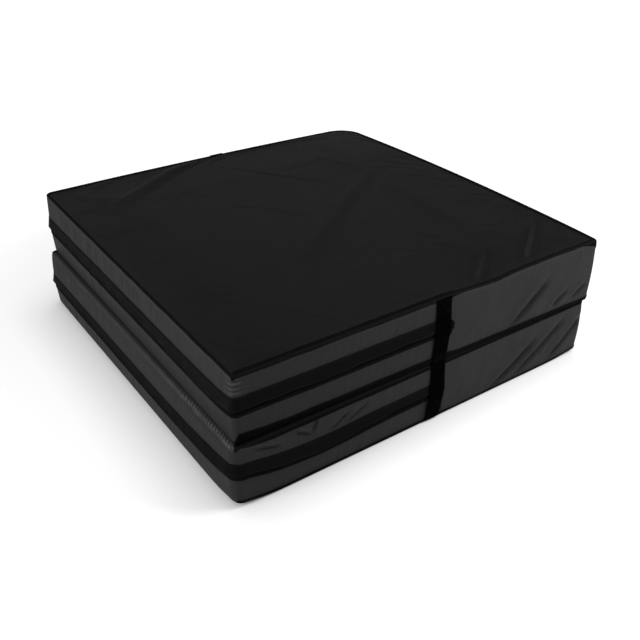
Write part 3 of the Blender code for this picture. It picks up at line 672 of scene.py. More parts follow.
def face_points(section, plan, top, above):
    """Points on a top or bottom face, above it by a distance that counts away from the foam."""
    height, away = (FOAM_HEIGHT, 1.0) if top else (0.0, -1.0)
    z = section["foam_z"] + height + away * above + face_shape(section, plan, top)
    z = z + corner_lift(section, plan, height) + top_rise(section, plan, height)
    return np.concatenate((plan, z[..., None]), axis=-1)


def quad_mesh(name, points, quads):
    """A smooth mesh of four-sided faces from arrays of points and of each face's corners."""
    mesh = bpy.data.meshes.new(name)
    mesh.vertices.add(points.size // 3)
    mesh.vertices.foreach_set("co", points.astype(np.float32).ravel())
    mesh.loops.add(quads.size)
    mesh.loops.foreach_set("vertex_index", quads.astype(np.int32).ravel())
    mesh.polygons.add(len(quads))
    mesh.polygons.foreach_set("loop_start", np.arange(0, quads.size, 4, dtype=np.int32))
    mesh.update(calc_edges=True)
    mesh.shade_smooth()
    return mesh


def grid_mesh(name, points, uv, closed=False, flip=False, edge=0.0):
    """A mesh from a grid of points, with a UV map in metres and a point attribute for abrasion,
    painted shade and painted highlight.
    """
    rows, columns = points.shape[:2]
    index = np.arange(rows * columns).reshape(rows, columns)
    right = np.roll(index, -1, axis=1) if closed else index[:, 1:]
    left = index if closed else index[:, :-1]
    quads = np.stack((left[:-1], left[1:], right[1:], right[:-1]), axis=-1).reshape(-1, 4)
    if flip:
        quads = quads[:, ::-1]
    mesh = quad_mesh(name, points, quads)
    flat = np.stack(np.broadcast_arrays(*uv), axis=-1).reshape(-1, 2)
    layer = mesh.uv_layers.new(name="cloth")
    layer.data.foreach_set("uv", flat[quads.ravel()].astype(np.float32).ravel())
    wear = mesh.attributes.new("wear", "FLOAT", "POINT")
    amount = np.broadcast_to(edge, (rows, columns))
    wear.data.foreach_set("value", amount.astype(np.float32).ravel())
    mesh.validate()
    return mesh


def place(name, data):
    """Puts an object in the scene at the origin."""
    placed = bpy.data.objects.new(name, data)
    bpy.context.scene.collection.objects.link(placed)
    return placed


def finish(name):
    """A finish made here, whose name sets it apart from the plain ones of the CAD part."""
    return bpy.data.materials[name + "_finish"]


def add_piece(mesh, body, slot, nodes, thickness=0.0, offset=1.0, look=None):
    """Adds a piece with its finish, and with a Solidify modifier where it has a thickness.

    It rides on its body, takes the finish of its look, or else of its slot, and hides the nodes that
    it stands for.
    """
    piece = place(mesh.name, mesh)
    mesh.materials.append(finish(look or slot))
    if thickness:
        modifier = piece.modifiers.new("cloth", "SOLIDIFY")
        modifier.thickness = thickness
        modifier.offset = offset
    if body:
        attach(piece, body)
    if nodes:
        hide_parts(*nodes)
    return piece


def lay(node, kind, points, uv, body, slot, thickness=0.0, **options):
    """A grid as a piece that is named after the node it stands for."""
    mesh = grid_mesh(f"{node}_{kind}", points, uv, **options)
    return add_piece(mesh, body, slot, [node], thickness)


def thread_mesh(name, centres, along, outward):
    """Stitches in a row: each a bead whose radius follows a half circle from end to end."""
    sizes = bpy.context.scene.crash_mat_sizes
    sides, rings = 4, 3
    share = np.linspace(-1.0, 1.0, rings)[:, None, None, None]
    radius = sizes.thread_radius * np.sqrt(np.clip(1.0 - share**2, 0.12, 1.0))
    angle = (np.linspace(0.0, 2 * math.pi, sides, endpoint=False) + math.pi / 4)[:, None, None]
    ring = np.cos(angle) * np.cross(outward, along) + np.sin(angle) * outward
    beads = centres + (sizes.stitch_length / 2) * share * along + radius * ring
    points = beads.transpose(2, 0, 1, 3)
    index = np.arange(rings * sides).reshape(rings, sides)
    after = np.roll(index, -1, axis=1)
    walls = np.stack((index[:-1], after[:-1], after[1:], index[1:]), axis=-1).reshape(-1, 4)
    bead = np.concatenate((walls, index[:1, ::-1], index[-1:]))
    starts = np.arange(len(points)) * rings * sides
    mesh = quad_mesh(name, points, (bead + starts[:, None, None]).reshape(-1, 4))
    mesh.validate()
    return mesh


def stitch_row(path, outward, pitch, lift):
    """Centres, directions and outward vectors of stitches spaced evenly along a path."""
    run = path_run(path)
    places = np.arange(pitch, run[-1] - pitch, pitch)
    centres = along_path(places, run, path)
    along = unit(along_path(places + pitch / 3, run, path) - centres)
    out = square_to(along_path(places, run, outward), along)
    return centres + lift * out, along, out


def plan_normals(cols):
    """The columns' outward normals as level vectors in space."""
    return np.concatenate((cols["normal"], np.zeros((len(cols["radius"]), 1))), axis=1)


def sew(name, rows, body):
    """One piece of thread for several rows of stitches."""
    centres, along, out = (np.concatenate(parts) for parts in zip(*rows))
    mesh = thread_mesh(name, centres, along, out)
    add_piece(mesh, body, "binding_tape", (), look="thread")


def length_property(name, description, default):
    """A length property with the given default."""
    return FloatProperty(name=name, description=description, default=default, unit="LENGTH")


class CrashMatSizes(PropertyGroup):
    """Sizes that someone would change."""

    grid_step: length_property("Grid step", "Spacing of the covers' grid", 0.0045)
    panel_cells: IntProperty(
        name="Panel cells", description="Cells along each side of the top panel", default=200
    )
    cloth: length_property("Cover cloth", "Thickness of the cover's cloth", 0.0006)
    tape: length_property("Binding tape", "Thickness of the binding tape", 0.0008)
    webbing: length_property("Webbing", "Thickness of the strap webbing", 0.0014)
    stitch_pitch: length_property("Stitch pitch", "From one stitch to the next", 0.0040)
    stitch_length: length_property("Stitch length", "Length of a stitch that shows", 0.0028)
    thread_radius: length_property("Thread radius", "Half the thickness of the thread", 0.00032)
    coil_pitch: length_property("Coil pitch", "From one turn of a coil to the next", 0.0030)


def colour_property(name, description, default):
    """A colour property with the given default."""
    return FloatVectorProperty(
        name=name, description=description, default=default, subtype="COLOR", min=0.0, max=1.0
    )


class CrashMatColours(PropertyGroup):
    """Colours of the cloths and other finishes."""

    panel: colour_property("Panels", "Nylon of the outer and landing faces", (0.0008, 0.0008, 0.0009))
    wall: colour_property("Side walls", "Nylon of the side walls", (0.0205, 0.0205, 0.0211))
    flap: colour_property("Flaps", "Nylon of the zip flaps and the hinge", (0.0026, 0.0026, 0.0028))
    binding: colour_property("Bindings", "Woven tape on the edges", (0.0019, 0.0019, 0.0020))
    webbing: colour_property("Webbing", "Closing straps", (0.0003, 0.0003, 0.0003))
    foam: colour_property("Foam", "Foam blocks", (0.34, 0.39, 0.45))


def feed(tree, socket, value):
    """Links a socket to another one, or sets it to a number or a tuple."""
    if isinstance(value, bpy.types.NodeSocket):
        tree.links.new(value, socket)
    else:
        socket.default_value = value


def new_node(tree, kind, values):
    """A shader node with the given inputs."""
    node = tree.nodes.new("ShaderNode" + kind)
    for name, value in values.items():
        feed(tree, node.inputs[name], value)
    return node


def math_node(tree, operation, *values):
    """A Math node fed by sockets or numbers."""
    node = tree.nodes.new("ShaderNodeMath")
    node.operation = operation
    for socket, value in zip(node.inputs, values):
        feed(tree, socket, value)
    return node.outputs[0]


def half_waves(tree, value):
    """The size of a sine wave, which is nothing at each whole number."""
    sine = math_node(tree, "SINE", math_node(tree, "MULTIPLY", value, math.pi))
    return math_node(tree, "ABSOLUTE", sine)


def new_group(name, inputs, outputs):
    """A node group with float sockets: its tree, its input sockets and its output sockets."""
    tree = bpy.data.node_groups.new(name, "ShaderNodeTree")
    for key, default in inputs.items():
        socket = tree.interface.new_socket(name=key, in_out="INPUT", socket_type="NodeSocketFloat")
        socket.default_value = default
    for key in outputs:
        tree.interface.new_socket(name=key, in_out="OUTPUT", socket_type="NodeSocketFloat")
    inside = tree.nodes.new("NodeGroupInput")
    outside = tree.nodes.new("NodeGroupOutput")
    return tree, inside.outputs, outside.inputs


def make_weave_group():
    """Plain weave on the cloth's UV map: threads that pass over and under by turns.

    Height is the rounded top of whichever thread is uppermost in its cell.
    """
    tree, given, result = new_group("cloth_weave", {"Threads": 1400.0, "Rib": 1.0}, ("Height",))
    uv = tree.nodes.new("ShaderNodeUVMap")
    uv.uv_map = "cloth"
    parts = new_node(tree, "SeparateXYZ", {0: uv.outputs["UV"]})
    across = math_node(tree, "MULTIPLY", parts.outputs[0], given["Threads"])
    threads_up = math_node(tree, "MULTIPLY", given["Threads"], given["Rib"])
    up = math_node(tree, "MULTIPLY", parts.outputs[1], threads_up)
    cells = math_node(tree, "ADD", math_node(tree, "FLOOR", across), math_node(tree, "FLOOR", up))
    odd = math_node(tree, "ABSOLUTE", math_node(tree, "MODULO", cells, 2.0))
    even = math_node(tree, "SUBTRACT", 1.0, odd)
    warp = math_node(tree, "MULTIPLY", half_waves(tree, across), odd)
    weft = math_node(tree, "MULTIPLY", half_waves(tree, up), even)
    feed(tree, result["Height"], math_node(tree, "ADD", warp, weft))


def make_handling_group():
    """Uneven dye, dust, scuffed edges and painted light: noise on Object coordinates and a point
    attribute.

    Shade is near 1 and multiplies a colour; it is less where the attribute is negative, which is
    painted shade in crease valleys. Rub is the attribute from 0 to 1 broken up by noise: abrasion at
    edges, and painted highlights on ridges, puckers and wrinkles.
    """
    inputs = {"Patch Scale": 5.0, "Patch Depth": 0.25}
    tree, given, result = new_group("cloth_handling", inputs, ("Shade", "Rub", "Fine"))
    where = tree.nodes.new("ShaderNodeTexCoord").outputs["Object"]
    values = {"Vector": where, "Scale": given["Patch Scale"], "Detail": 4.0}
    patches = new_node(tree, "TexNoise", values)
    fine = new_node(tree, "TexNoise", {"Vector": where, "Scale": 160.0, "Detail": 3.0})
    centred = math_node(tree, "SUBTRACT", patches.outputs[0], 0.5)
    swing = math_node(tree, "MULTIPLY", centred, given["Patch Depth"])
    wear = tree.nodes.new("ShaderNodeAttribute")
    wear.attribute_name = "wear"
    # Painted shade: the negative part of the attribute darkens the colour in crease valleys
    painted_shade = math_node(tree, "MINIMUM", wear.outputs["Fac"], 0.0)
    swing, painted_shade = (math_node(tree, "ADD", value, 1.0) for value in (swing, painted_shade))
    feed(tree, result["Shade"], math_node(tree, "MULTIPLY", swing, painted_shade))
    feed(tree, result["Rub"], math_node(tree, "MULTIPLY", wear.outputs["Fac"], fine.outputs[0]))
    feed(tree, result["Fine"], fine.outputs[0])


def add_group(tree, name, values):
    """Places a node group in a material with its own values."""
    node = tree.nodes.new("ShaderNodeGroup")
    node.node_tree = bpy.data.node_groups[name]
    for key, value in values.items():
        node.inputs[key].default_value = value
    return node


def mix_colour(tree, factor, first, second):
    """Mixes a colour socket with a colour in numbers."""
    node = tree.nodes.new("ShaderNodeMix")
    node.data_type = "RGBA"
    tree.links.new(factor, node.inputs["Factor"])
    for name, value in (("A", first), ("B", (*second, 1.0))):
        feed(tree, next(s for s in node.inputs if s.name == name and s.type == "RGBA"), value)
    return next(s for s in node.outputs if s.type == "RGBA")


def scaled_colour(tree, colour, factor):
    """A colour times a changing value."""
    node = tree.nodes.new("ShaderNodeVectorMath")
    node.operation = "SCALE"
    feed(tree, node.inputs[0], colour)
    feed(tree, node.inputs["Scale"], factor)
    return node.outputs[0]


def new_finish(name, patch, depth):
    """A finish with the handling group: its tree, its shader and the group's outputs."""
    material = bpy.data.materials.new(name + "_finish")
    material.use_nodes = True
    tree = material.node_tree
    handling = add_group(tree, "cloth_handling", {"Patch Scale": patch, "Patch Depth": depth})
    return tree, tree.nodes["Principled BSDF"].inputs, handling.outputs


def cloth_material(
    name, colour, threads, rib=1.0, roughness=0.5, gloss=0.5, patch=4.5, depth=0.25, bump=0.0002,
    rub_and_highlight_gain=3.0,
):
    """Woven cloth: weave bump, uneven dye, scuffed edges, and painted shade and highlights from the
    point attribute, on a Principled BSDF.
    """
    tree, shader, handling = new_finish(name, patch, depth)
    weave = add_group(tree, "cloth_weave", {"Threads": threads, "Rib": rib}).outputs["Height"]
    dyed = scaled_colour(tree, colour, handling["Shade"])
    # The lighter colour mixed in by the attribute: abrasion at edges, and painted highlight on ridges
    # and on the crests of puckers and wrinkles
    rubbed_and_highlit = tuple(min(1.0, channel * rub_and_highlight_gain + RUB_AND_HIGHLIGHT_LIFT) for channel in colour)
    between = math_node(tree, "MULTIPLY_ADD", weave, 0.45, 0.72)
    rubbed_and_highlit_cloth = mix_colour(tree, handling["Rub"], dyed, rubbed_and_highlit)
    feed(tree, shader["Base Color"], scaled_colour(tree, rubbed_and_highlit_cloth, between))
    uneven = math_node(tree, "MULTIPLY_ADD", handling["Fine"], 0.16, roughness - 0.08)
    feed(tree, shader["Roughness"], uneven)
    height = new_node(tree, "Bump", {"Distance": bump, "Strength": 0.7, "Height": weave})
    feed(tree, shader["Normal"], height.outputs[0])
    feed(tree, shader["Specular IOR Level"], gloss)


def foam_material(colour):
    """Open-cell foam: a cellular bump and uneven colour."""
    tree, shader, handling = new_finish("foam", 9.0, 0.15)
    feed(tree, shader["Base Color"], scaled_colour(tree, colour, handling["Shade"]))
    where = tree.nodes.new("ShaderNodeTexCoord").outputs["Object"]
    cells = new_node(tree, "TexVoronoi", {"Scale": 700.0, "Vector": where})
    height = new_node(tree, "Bump", {"Distance": 0.0004, "Height": cells.outputs["Distance"]})
    feed(tree, shader["Normal"], height.outputs[0])
    feed(tree, shader["Roughness"], 0.95)


def hard_material(name, colour, roughness, scale):
    """Moulded plastic or painted metal with fine mottling in its colour and gloss."""
    tree, shader, handling = new_finish(name, scale, 0.4)
    feed(tree, shader["Base Color"], scaled_colour(tree, colour, handling["Shade"]))
    uneven = math_node(tree, "MULTIPLY_ADD", handling["Fine"], 0.2, roughness)
    feed(tree, shader["Roughness"], uneven)
    height = new_node(tree, "Bump", {"Distance": 0.00005, "Height": handling["Fine"]})
    feed(tree, shader["Normal"], height.outputs[0])


def make_materials(colours):
    """All finishes of the mat."""
    make_weave_group()
    make_handling_group()
    panel, wall, flap = tuple(colours.panel), tuple(colours.wall), tuple(colours.flap)
    binding, webbing = tuple(colours.binding), tuple(colours.webbing)
    coarse = {"rib": 0.35, "roughness": 0.62, "bump": 0.0004}
    cloth_material("panel_nylon", panel, 1500.0, roughness=0.40, gloss=0.094, depth=0.30)
    # The walls' high gain brightens their abrasion and their painted highlights on ridges, seam
    # puckers and corner wrinkles
    cloth_material("wall_nylon", wall, 1500.0, roughness=0.38, gloss=0.07, depth=0.22, rub_and_highlight_gain=8.0)
    cloth_material("flap_nylon", flap, 1500.0, roughness=0.50, gloss=0.03)
    cloth_material("binding_tape", binding, 900.0, gloss=0.016, patch=60.0, depth=1.6, **coarse)
    # The zip tape takes the straps' near-black as painted shadow under the flap; the attribute lifts
    # its lower part, where it shows below the flap, to a lighter grey
    cloth_material("zip_tape", webbing, 1300.0, rib=0.5, roughness=0.75, gloss=0.02, rub_and_highlight_gain=22.0)
    cloth_material("webbing", webbing, 620.0, rib=0.4, roughness=0.80, gloss=0.01, bump=0.0006)
    cloth_material("hook_and_loop", webbing, 520.0, roughness=0.9, gloss=0.02, bump=0.0009)
    cloth_material("thread", tuple(c * 2.5 for c in binding), 2500.0, roughness=0.55, gloss=0.20)
    foam_material(tuple(colours.foam))
    hard_material("zip_coil", (0.010, 0.010, 0.011), 0.22, 60.0)
    hard_material("slider_paint", (0.030, 0.030, 0.033), 0.25, 90.0)


def edge_profile(reach, top):
    """The section's rim as cloth lies on it: height, step out, and the layer's normal.

    Reach is the distance along the profile from where the wall starts to curve: the straight wall
    where it is positive, then a quarter circle, then the face.
    """
    turn = np.clip(-reach / EDGE_RADIUS, 0.0, math.pi / 2)
    inward = np.maximum(-reach - EDGE_RADIUS * math.pi / 2, 0.0)
    below = EDGE_RADIUS * (1 - np.sin(turn)) + np.maximum(reach, 0.0)
    out = EDGE_RADIUS * (np.cos(turn) - 1) - inward
    sign = 1.0 if top else -1.0
    height = FOAM_HEIGHT - below if top else below
    return height, out, np.cos(turn), sign * np.sin(turn)


def rim_surface(section, cols, reach, top, seat):
    """Points on a section's rim at a seat off the foam, following the face's creases on it."""
    height, out, normal_out, normal_up = edge_profile(reach, top)
    points = skin(section, cols, height, out + seat * normal_out, seat * normal_up)
    on_face = smooth(-reach / EDGE_RADIUS, math.pi / 4, math.pi / 2)
    points[..., 2] += on_face * face_shape(section, points[..., :2], top)
    return points


def by_stretch(cols, values):
    """A value at each column: left of the strap, right of it, on the free side, and on the rest."""
    left, right, free_value, rest_value = values
    near, free, rest = side_shares(cols)
    past_strap = smooth(cols["foot"][:, 0], 0.03, 0.09)
    near_value = left + past_strap * (right - left)
    return near * near_value + free * free_value + rest * rest_value


def hem_lengths(section, cols, which):
    """How far a binding reaches onto the wall at each column, or inwards of it if negative.

    It is a length for each side, plus a little noise and a bell at a corner.
    """
    hems = by_stretch(cols, section["hems"][which])
    hems = hems + 0.0006 * soft_noise(cols["along"], 0.0, 0.05, 1.0, 41)
    if which == "outer":
        at_right = bell(from_corner(section, cols["foot"], "right"), 0.040)
        return hems + section["corner_hem"] * at_right
    near, _, _ = side_shares(cols)
    at_front = bell(from_corner(section, cols["foot"], "front"), 0.070)
    return hems + near * section["front_hem"] * at_front


def make_binding(section, which):
    """A binding and its two rows of stitches.

    Its rows run round the rim's profile from the hem to the lap, at a seat that swells by a sine.
    """
    sizes = bpy.context.scene.crash_mat_sizes
    top = (which == "outer") == (section is UPPER)
    cols = whole_outline(section, sizes.grid_step)
    hem = hem_lengths(section, cols, which) - EDGE_RADIUS
    lap = EDGE_RADIUS - by_stretch(cols, section["laps"][which]) - EDGE_RADIUS * math.pi / 2
    share = np.linspace(0.0, 1.0, BINDING_ROWS)[:, None]
    reach = hem * (1 - share) + lap * share
    seat = BINDING_SEAT + 0.0003 * np.sin(3 * math.pi * share) ** 2
    points = rim_surface(section, cols, reach, top, seat)
    node, body = f"{section['name']}_{which}_binding", section["body"]
    edge = bell(reach / EDGE_RADIUS + math.pi / 4, 1.0)
    options = {"closed": True, "flip": not top, "edge": edge}
    uv = (cols["along"][None, :], reach)
    lay(node, "cloth", points, uv, body, "binding_tape", sizes.tape, **options)
    away = np.tile((0.0, 0.0, 1.0 if top else -1.0), (len(cols["radius"]), 1))
    lift = sizes.tape + THREAD_LIFT
    rows = [
        stitch_row(points[1], plan_normals(cols) + 0.5 * away, sizes.stitch_pitch, lift),
        stitch_row(points[-2], away, sizes.stitch_pitch, lift),
    ]
    sew(node + "_stitches", rows, body)


def side_curve(section, side, step, count):
    """Rim of a face along one side, from the middle of one corner arc to the next."""
    half = ARC_POINTS // 2
    before = corner_arc(section, NEIGHBOUR_BEFORE[side], side, ARC_POINTS)
    after = corner_arc(section, side, NEIGHBOUR_AFTER[side], ARC_POINTS)
    line = straight_line(section, side, None, None, 0.01)
    cols = {
        key: np.concatenate((before[key][half:-1], line[key], after[key][1:half + 1]))
        for key in line
    }
    plan = plan_points(cols, step)
    run = path_run(plan)
    return along_path(np.linspace(0.0, run[-1], count), run, plan)


def face_plan(section, step, count):
    """A face's grid in plan: a Coons patch, which blends the four rim curves across it."""
    near = side_curve(section, "near", step, count)[::-1]
    far = side_curve(section, "far", step, count)
    free = side_curve(section, "free", step, count)
    hinge = side_curve(section, "hinge", step, count)[::-1]
    u = np.linspace(0.0, 1.0, count)[None, :, None]
    v = np.linspace(0.0, 1.0, count)[:, None, None]
    ruled = (1 - v) * near[None] + v * far[None] + (1 - u) * free[:, None] + u * hinge[:, None]
    corners = (1 - u) * (1 - v) * near[0] + u * (1 - v) * near[-1]
    corners = corners + (1 - u) * v * far[0] + u * v * far[-1]
    return ruled - corners


def make_panel(section, which):
    """An outer or landing panel, lying on the foam and under the binding's lap."""
    sizes = bpy.context.scene.crash_mat_sizes
    name = section["name"]
    top = (which == "outer") == (section is UPPER)
    shown = which == "outer" and section is UPPER
    count = sizes.panel_cells if shown else sizes.panel_cells // 2
    margin = PANEL_MARGIN if shown else SHELF_MARGIN if top else HIDDEN_MARGIN
    plan = face_plan(section, -margin, count + 1)
    points = face_points(section, plan, top, WALL_SEAT)
    if shown:
        points = settle(points, growth=0.0008, most=0.0007)
    faces = {"lower_outer": "base", "upper_outer": "top"}
    node = f"{name}_{faces.get(f'{name}_{which}', 'landing')}_panel"
    options = {"flip": top, "edge": 0.35 * (1 - smooth(rim_distance(section, plan), 0.012, 0.05))}
    uv = (plan[..., 0], plan[..., 1])
    piece = lay(node, "cloth", points, uv, section["body"], "panel_nylon", sizes.cloth, **options)


def settle(points, growth, most):
    """Lets a sheet of cloth find its folds: held at its border and grown a little, with pressure
    switched on at no force.

    Returns the grid moved by what Blender's cloth did to it, with each move capped at most.
    """
    rows, columns = points.shape[:2]
    mesh = grid_mesh("settling", points, (points[..., 0], points[..., 1]))
    sheet = place("settling", mesh)
    held = np.zeros((rows, columns), bool)
    held[[0, 1, -2, -1], :] = True
    held[:, [0, 1, -2, -1]] = True
    group = sheet.vertex_groups.new(name="held")
    group.add([int(i) for i in np.flatnonzero(held.ravel())], 1.0, "REPLACE")
    cloth = sheet.modifiers.new("cloth", "CLOTH")
    cloth.settings.quality = 6
    cloth.settings.mass = 0.3
    cloth.settings.vertex_group_mass = "held"
    cloth.settings.shrink_min = -growth
    cloth.settings.bending_stiffness = 0.2
    cloth.settings.use_pressure = True
    cloth.settings.uniform_pressure_force = 0.0
    cloth.settings.effector_weights.gravity = 0.0
    cloth.collision_settings.use_collision = False
    scene = bpy.context.scene
    for step in range(1, 21):
        scene.frame_set(step)
    graph = bpy.context.evaluated_depsgraph_get()
    settled = sheet.evaluated_get(graph).to_mesh()
    moved = np.zeros(rows * columns * 3, np.float32)
    settled.vertices.foreach_get("co", moved)
    shift = moved.reshape(rows, columns, 3) - points
    sheet.evaluated_get(graph).to_mesh_clear()
    bpy.data.objects.remove(sheet, do_unlink=True)
    scene.frame_set(1)
    length = np.linalg.norm(shift, axis=2, keepdims=True)
    return points + shift * np.minimum(1.0, most / np.maximum(length, 1e-9))


def painted_fold_shade(section, cols, height):
    """Painted light on the creases of the near side: painted shade in their valleys and painted
    highlight on their ridges.
    """
    near, _, _ = side_shares(cols)
    z = wall_height(section, cols, height)
    shade = np.zeros(z.shape)
    for start, end, width, _, _ in NEAR_CREASES[section["name"]]:
        ridge, trough = crease_parts(cols["foot"][:, 0], z, start, end, width)
        shade += near * (PAINTED_RIDGE_HIGHLIGHT * ridge - PAINTED_VALLEY_SHADE * trough)
    return shade


def painted_seam_highlights(section, cols, from_top):
    """Painted highlight strokes on the crests of the lower landing seam's puckers, and on the crests
    of the upper corner's wrinkles.

    Each is a wave along the seam or down the corner, which fades away from where it is strongest.
    """
    if section is UPPER:
        at_corner, wrinkles = corner_wrinkles(section, cols, from_top)
        fade = smooth(from_top, 0.004, 0.010) * (1 - smooth(from_top, 0.045, 0.055))
        return 0.5 * at_corner * fade * np.maximum(wrinkles, 0.0)
    y = cols["foot"][:, 1]
    turns = (y + 0.9 * from_top) / SEAM_PITCH + 0.5 * soft_noise(y, 0.0, 0.05, 1.0, 92)
    stroke = 0.45 + 0.55 * wave(turns)
    uneven = 0.75 + 0.25 * soft_noise(y, from_top, 0.03, 0.01, 91)
    return 0.85 * seam_strength(cols) * stroke * uneven * bell(from_top + 0.001, 0.010)


def make_walls(section):
    """The two strips of wall along the zip, and the plain wall round the hinge side.

    Their rows run evenly from a lower to an upper height, and on round the nearer rim.
    """
    sizes = bpy.context.scene.crash_mat_sizes
    name, middle = section["name"], section["zip"]
    rim = EDGE_RADIUS * (math.pi / 2 - 1)
    low_rim = rim + WALL_WRAP
    high_rim = rim if section is UPPER else rim + SHELF_WRAP
    zipped = zip_outline(section, section["near_seam"], FAR_ZIP_END, sizes.grid_step)
    finer = zip_outline(section, section["near_seam"], FAR_ZIP_END, SEAM_PITCH / 4.5)
    plain = plain_outline(section, sizes.grid_step)
    strip_top = middle - STRIP_EDGE + STRIP_TUCK * tuck(section, zipped)
    pieces = (
        ("wall_strip_bottom", zipped, -low_rim, strip_top),
        ("wall_strip_top", finer, middle + STRIP_EDGE, FOAM_HEIGHT + high_rim),
        ("plain_wall", plain, -low_rim, FOAM_HEIGHT + high_rim),
    )
    for label, cols, start, end in pieces:
        width = float(np.mean(end - start))
        rows = max(5, round(width / (0.8 * sizes.grid_step)) + 1)
        up_wall = start + np.linspace(0.0, 1.0, rows)[:, None] * (end - start)
        low = rim_surface(section, cols, up_wall - EDGE_RADIUS, False, WALL_SEAT)
        high = rim_surface(section, cols, FOAM_HEIGHT - EDGE_RADIUS - up_wall, True, WALL_SEAT)
        points = np.where((up_wall < FOAM_HEIGHT / 2)[..., None], low, high)
        uv = (cols["along"][None, :], up_wall)
        to_seam = np.minimum(np.abs(up_wall), np.abs(up_wall - FOAM_HEIGHT))
        # Tone marks on the wall: lighter beside the seams for abrasion, painted shade in the near
        # side's crease valleys with painted highlight on their ridges, and painted highlights on the
        # crests of the seam's puckers and the corner's wrinkles
        edge = 0.11 * bell(to_seam, 0.008) + painted_fold_shade(section, cols, up_wall)
        edge = edge + painted_seam_highlights(section, cols, FOAM_HEIGHT - up_wall)
        body, cloth = section["body"], sizes.cloth
        piece = lay(f"{name}_{label}", "cloth", points, uv, body, "wall_nylon", cloth, edge=edge)


def make_tapes(section):
    """The zip tapes on both sides of the coils: rows of skin, with a row of stitches each."""
    sizes = bpy.context.scene.crash_mat_sizes
    name, middle = section["name"], section["zip"]
    near_end = section["near_zip_end"] - 0.001
    cols = zip_outline(section, near_end, FAR_ZIP_END - 0.001, sizes.grid_step)
    spans = (
        ("top", middle + TAPE_INNER_EDGE, middle + TAPE_TOP_EDGE),
        ("bottom", middle - TAPE_BOTTOM_EDGE, middle - TAPE_INNER_EDGE),
    )
    for label, low, high in spans:
        height = np.linspace(low, high, max(3, round((high - low) / TAPE_STEP) + 1))
        points = skin(section, cols, height, TAPE_SEAT)
        uv = (cols["along"][None, :], height[:, None])
        node, body = f"{name}_zip_tape_{label}", section["body"]
        # Painted shadow of the flap: the tape stays near-black along the coils and under the flap,
        # and is lifted to a lighter grey only below the flap's edge
        shown = smooth(middle - uv[1], 0.0105, 0.0140)
        lay(node, "cloth", points, uv, body, "zip_tape", ZIP_TAPE, edge=shown)
        row = points[-2] if label == "top" else points[1]
        lift = ZIP_TAPE + 2 * THREAD_LIFT
        rows = [stitch_row(row, plan_normals(cols), sizes.stitch_pitch, lift)]
        sew(node + "_stitches", rows, body)


def make_coils(section):
    """The zip's coil rows: a wire wound round the tape's edge, flattened into ovals.

    A point is the coil's middle, plus the turn's oval in height and out, plus the wire's ring.
    """
    sizes = bpy.context.scene.crash_mat_sizes
    name = section["name"]
    near_end = section["near_zip_end"] - 0.0115
    cols = zip_outline(section, near_end, FAR_ZIP_END - 0.006, sizes.coil_pitch / COIL_POINTS)
    turn = 2 * math.pi * cols["along"] / sizes.coil_pitch
    angle = np.linspace(0, 2 * math.pi, WIRE_SIDES, endpoint=False)[:, None, None]
    for label, sign in (("top", 1.0), ("bottom", -1.0)):
        height = section["zip"] + sign * (0.0021 + 0.0011 * np.cos(turn))
        out = COIL_SEAT + 0.0007 * np.sin(turn)
        centre = skin(section, cols, height[None, :], out[None, :])[0]
        ahead = unit(np.gradient(centre, axis=0))
        radial = plan_normals(cols) * np.sin(turn)[:, None]
        radial[:, 2] += sign * np.cos(turn)
        radial = square_to(radial, ahead)
        side = np.cross(ahead, radial)
        ring = centre + WIRE_RADIUS * (np.cos(angle) * radial + np.sin(angle) * side)
        uv = (np.linspace(0, 1, WIRE_SIDES)[None, :], cols["along"][:, None])
        points, body = ring.transpose(1, 0, 2), section["body"]
        lay(f"{name}_zip_coil_{label}", "wire", points, uv, body, "zip_coil", closed=True)


def tuck(section, cols):
    """How far the flap is tucked up, from 0 to 1: most by the strap and along the free side."""
    near, free, _ = side_shares(cols)
    by_strap = near * smooth(cols["foot"][:, 0], -0.26, -0.12)
    along_free = free * smooth(from_corner(section, cols["foot"], "front"), 0.10, 0.28)
    return section["tuck"] * (0.35 * (near + free) + 0.65 * (by_strap + along_free))


def flap_stand(section, cols):
    """How far the flap's free edge stands off the foam.

    It waves by noise, lies flat under the strap and stands wide over the slider's track.
    """
    near, free, _ = side_shares(cols)
    x, y = cols["foot"].T
    stand = section["flap_open"] - 0.0020 * free
    stand = stand + 0.0012 * soft_noise(cols["along"], 0.0, 0.07, 1.0, 51)
    if section is LOWER:
        gape = near * smooth(-x, 0.30, 0.42) + (1 - near) * free * smooth(-y, 0.3, 0.5)
        stand = stand + 0.0045 * gape
    under_strap = near * smooth(x, NEAR_SLIP - 0.030, NEAR_SLIP)
    far = smooth(cols["normal"][:, 1], 0.1, 0.9)
    stand = stand + under_strap * (FLAP_LAID - stand)
    return stand + far * (FLAP_OVER_SLIDER - stand)


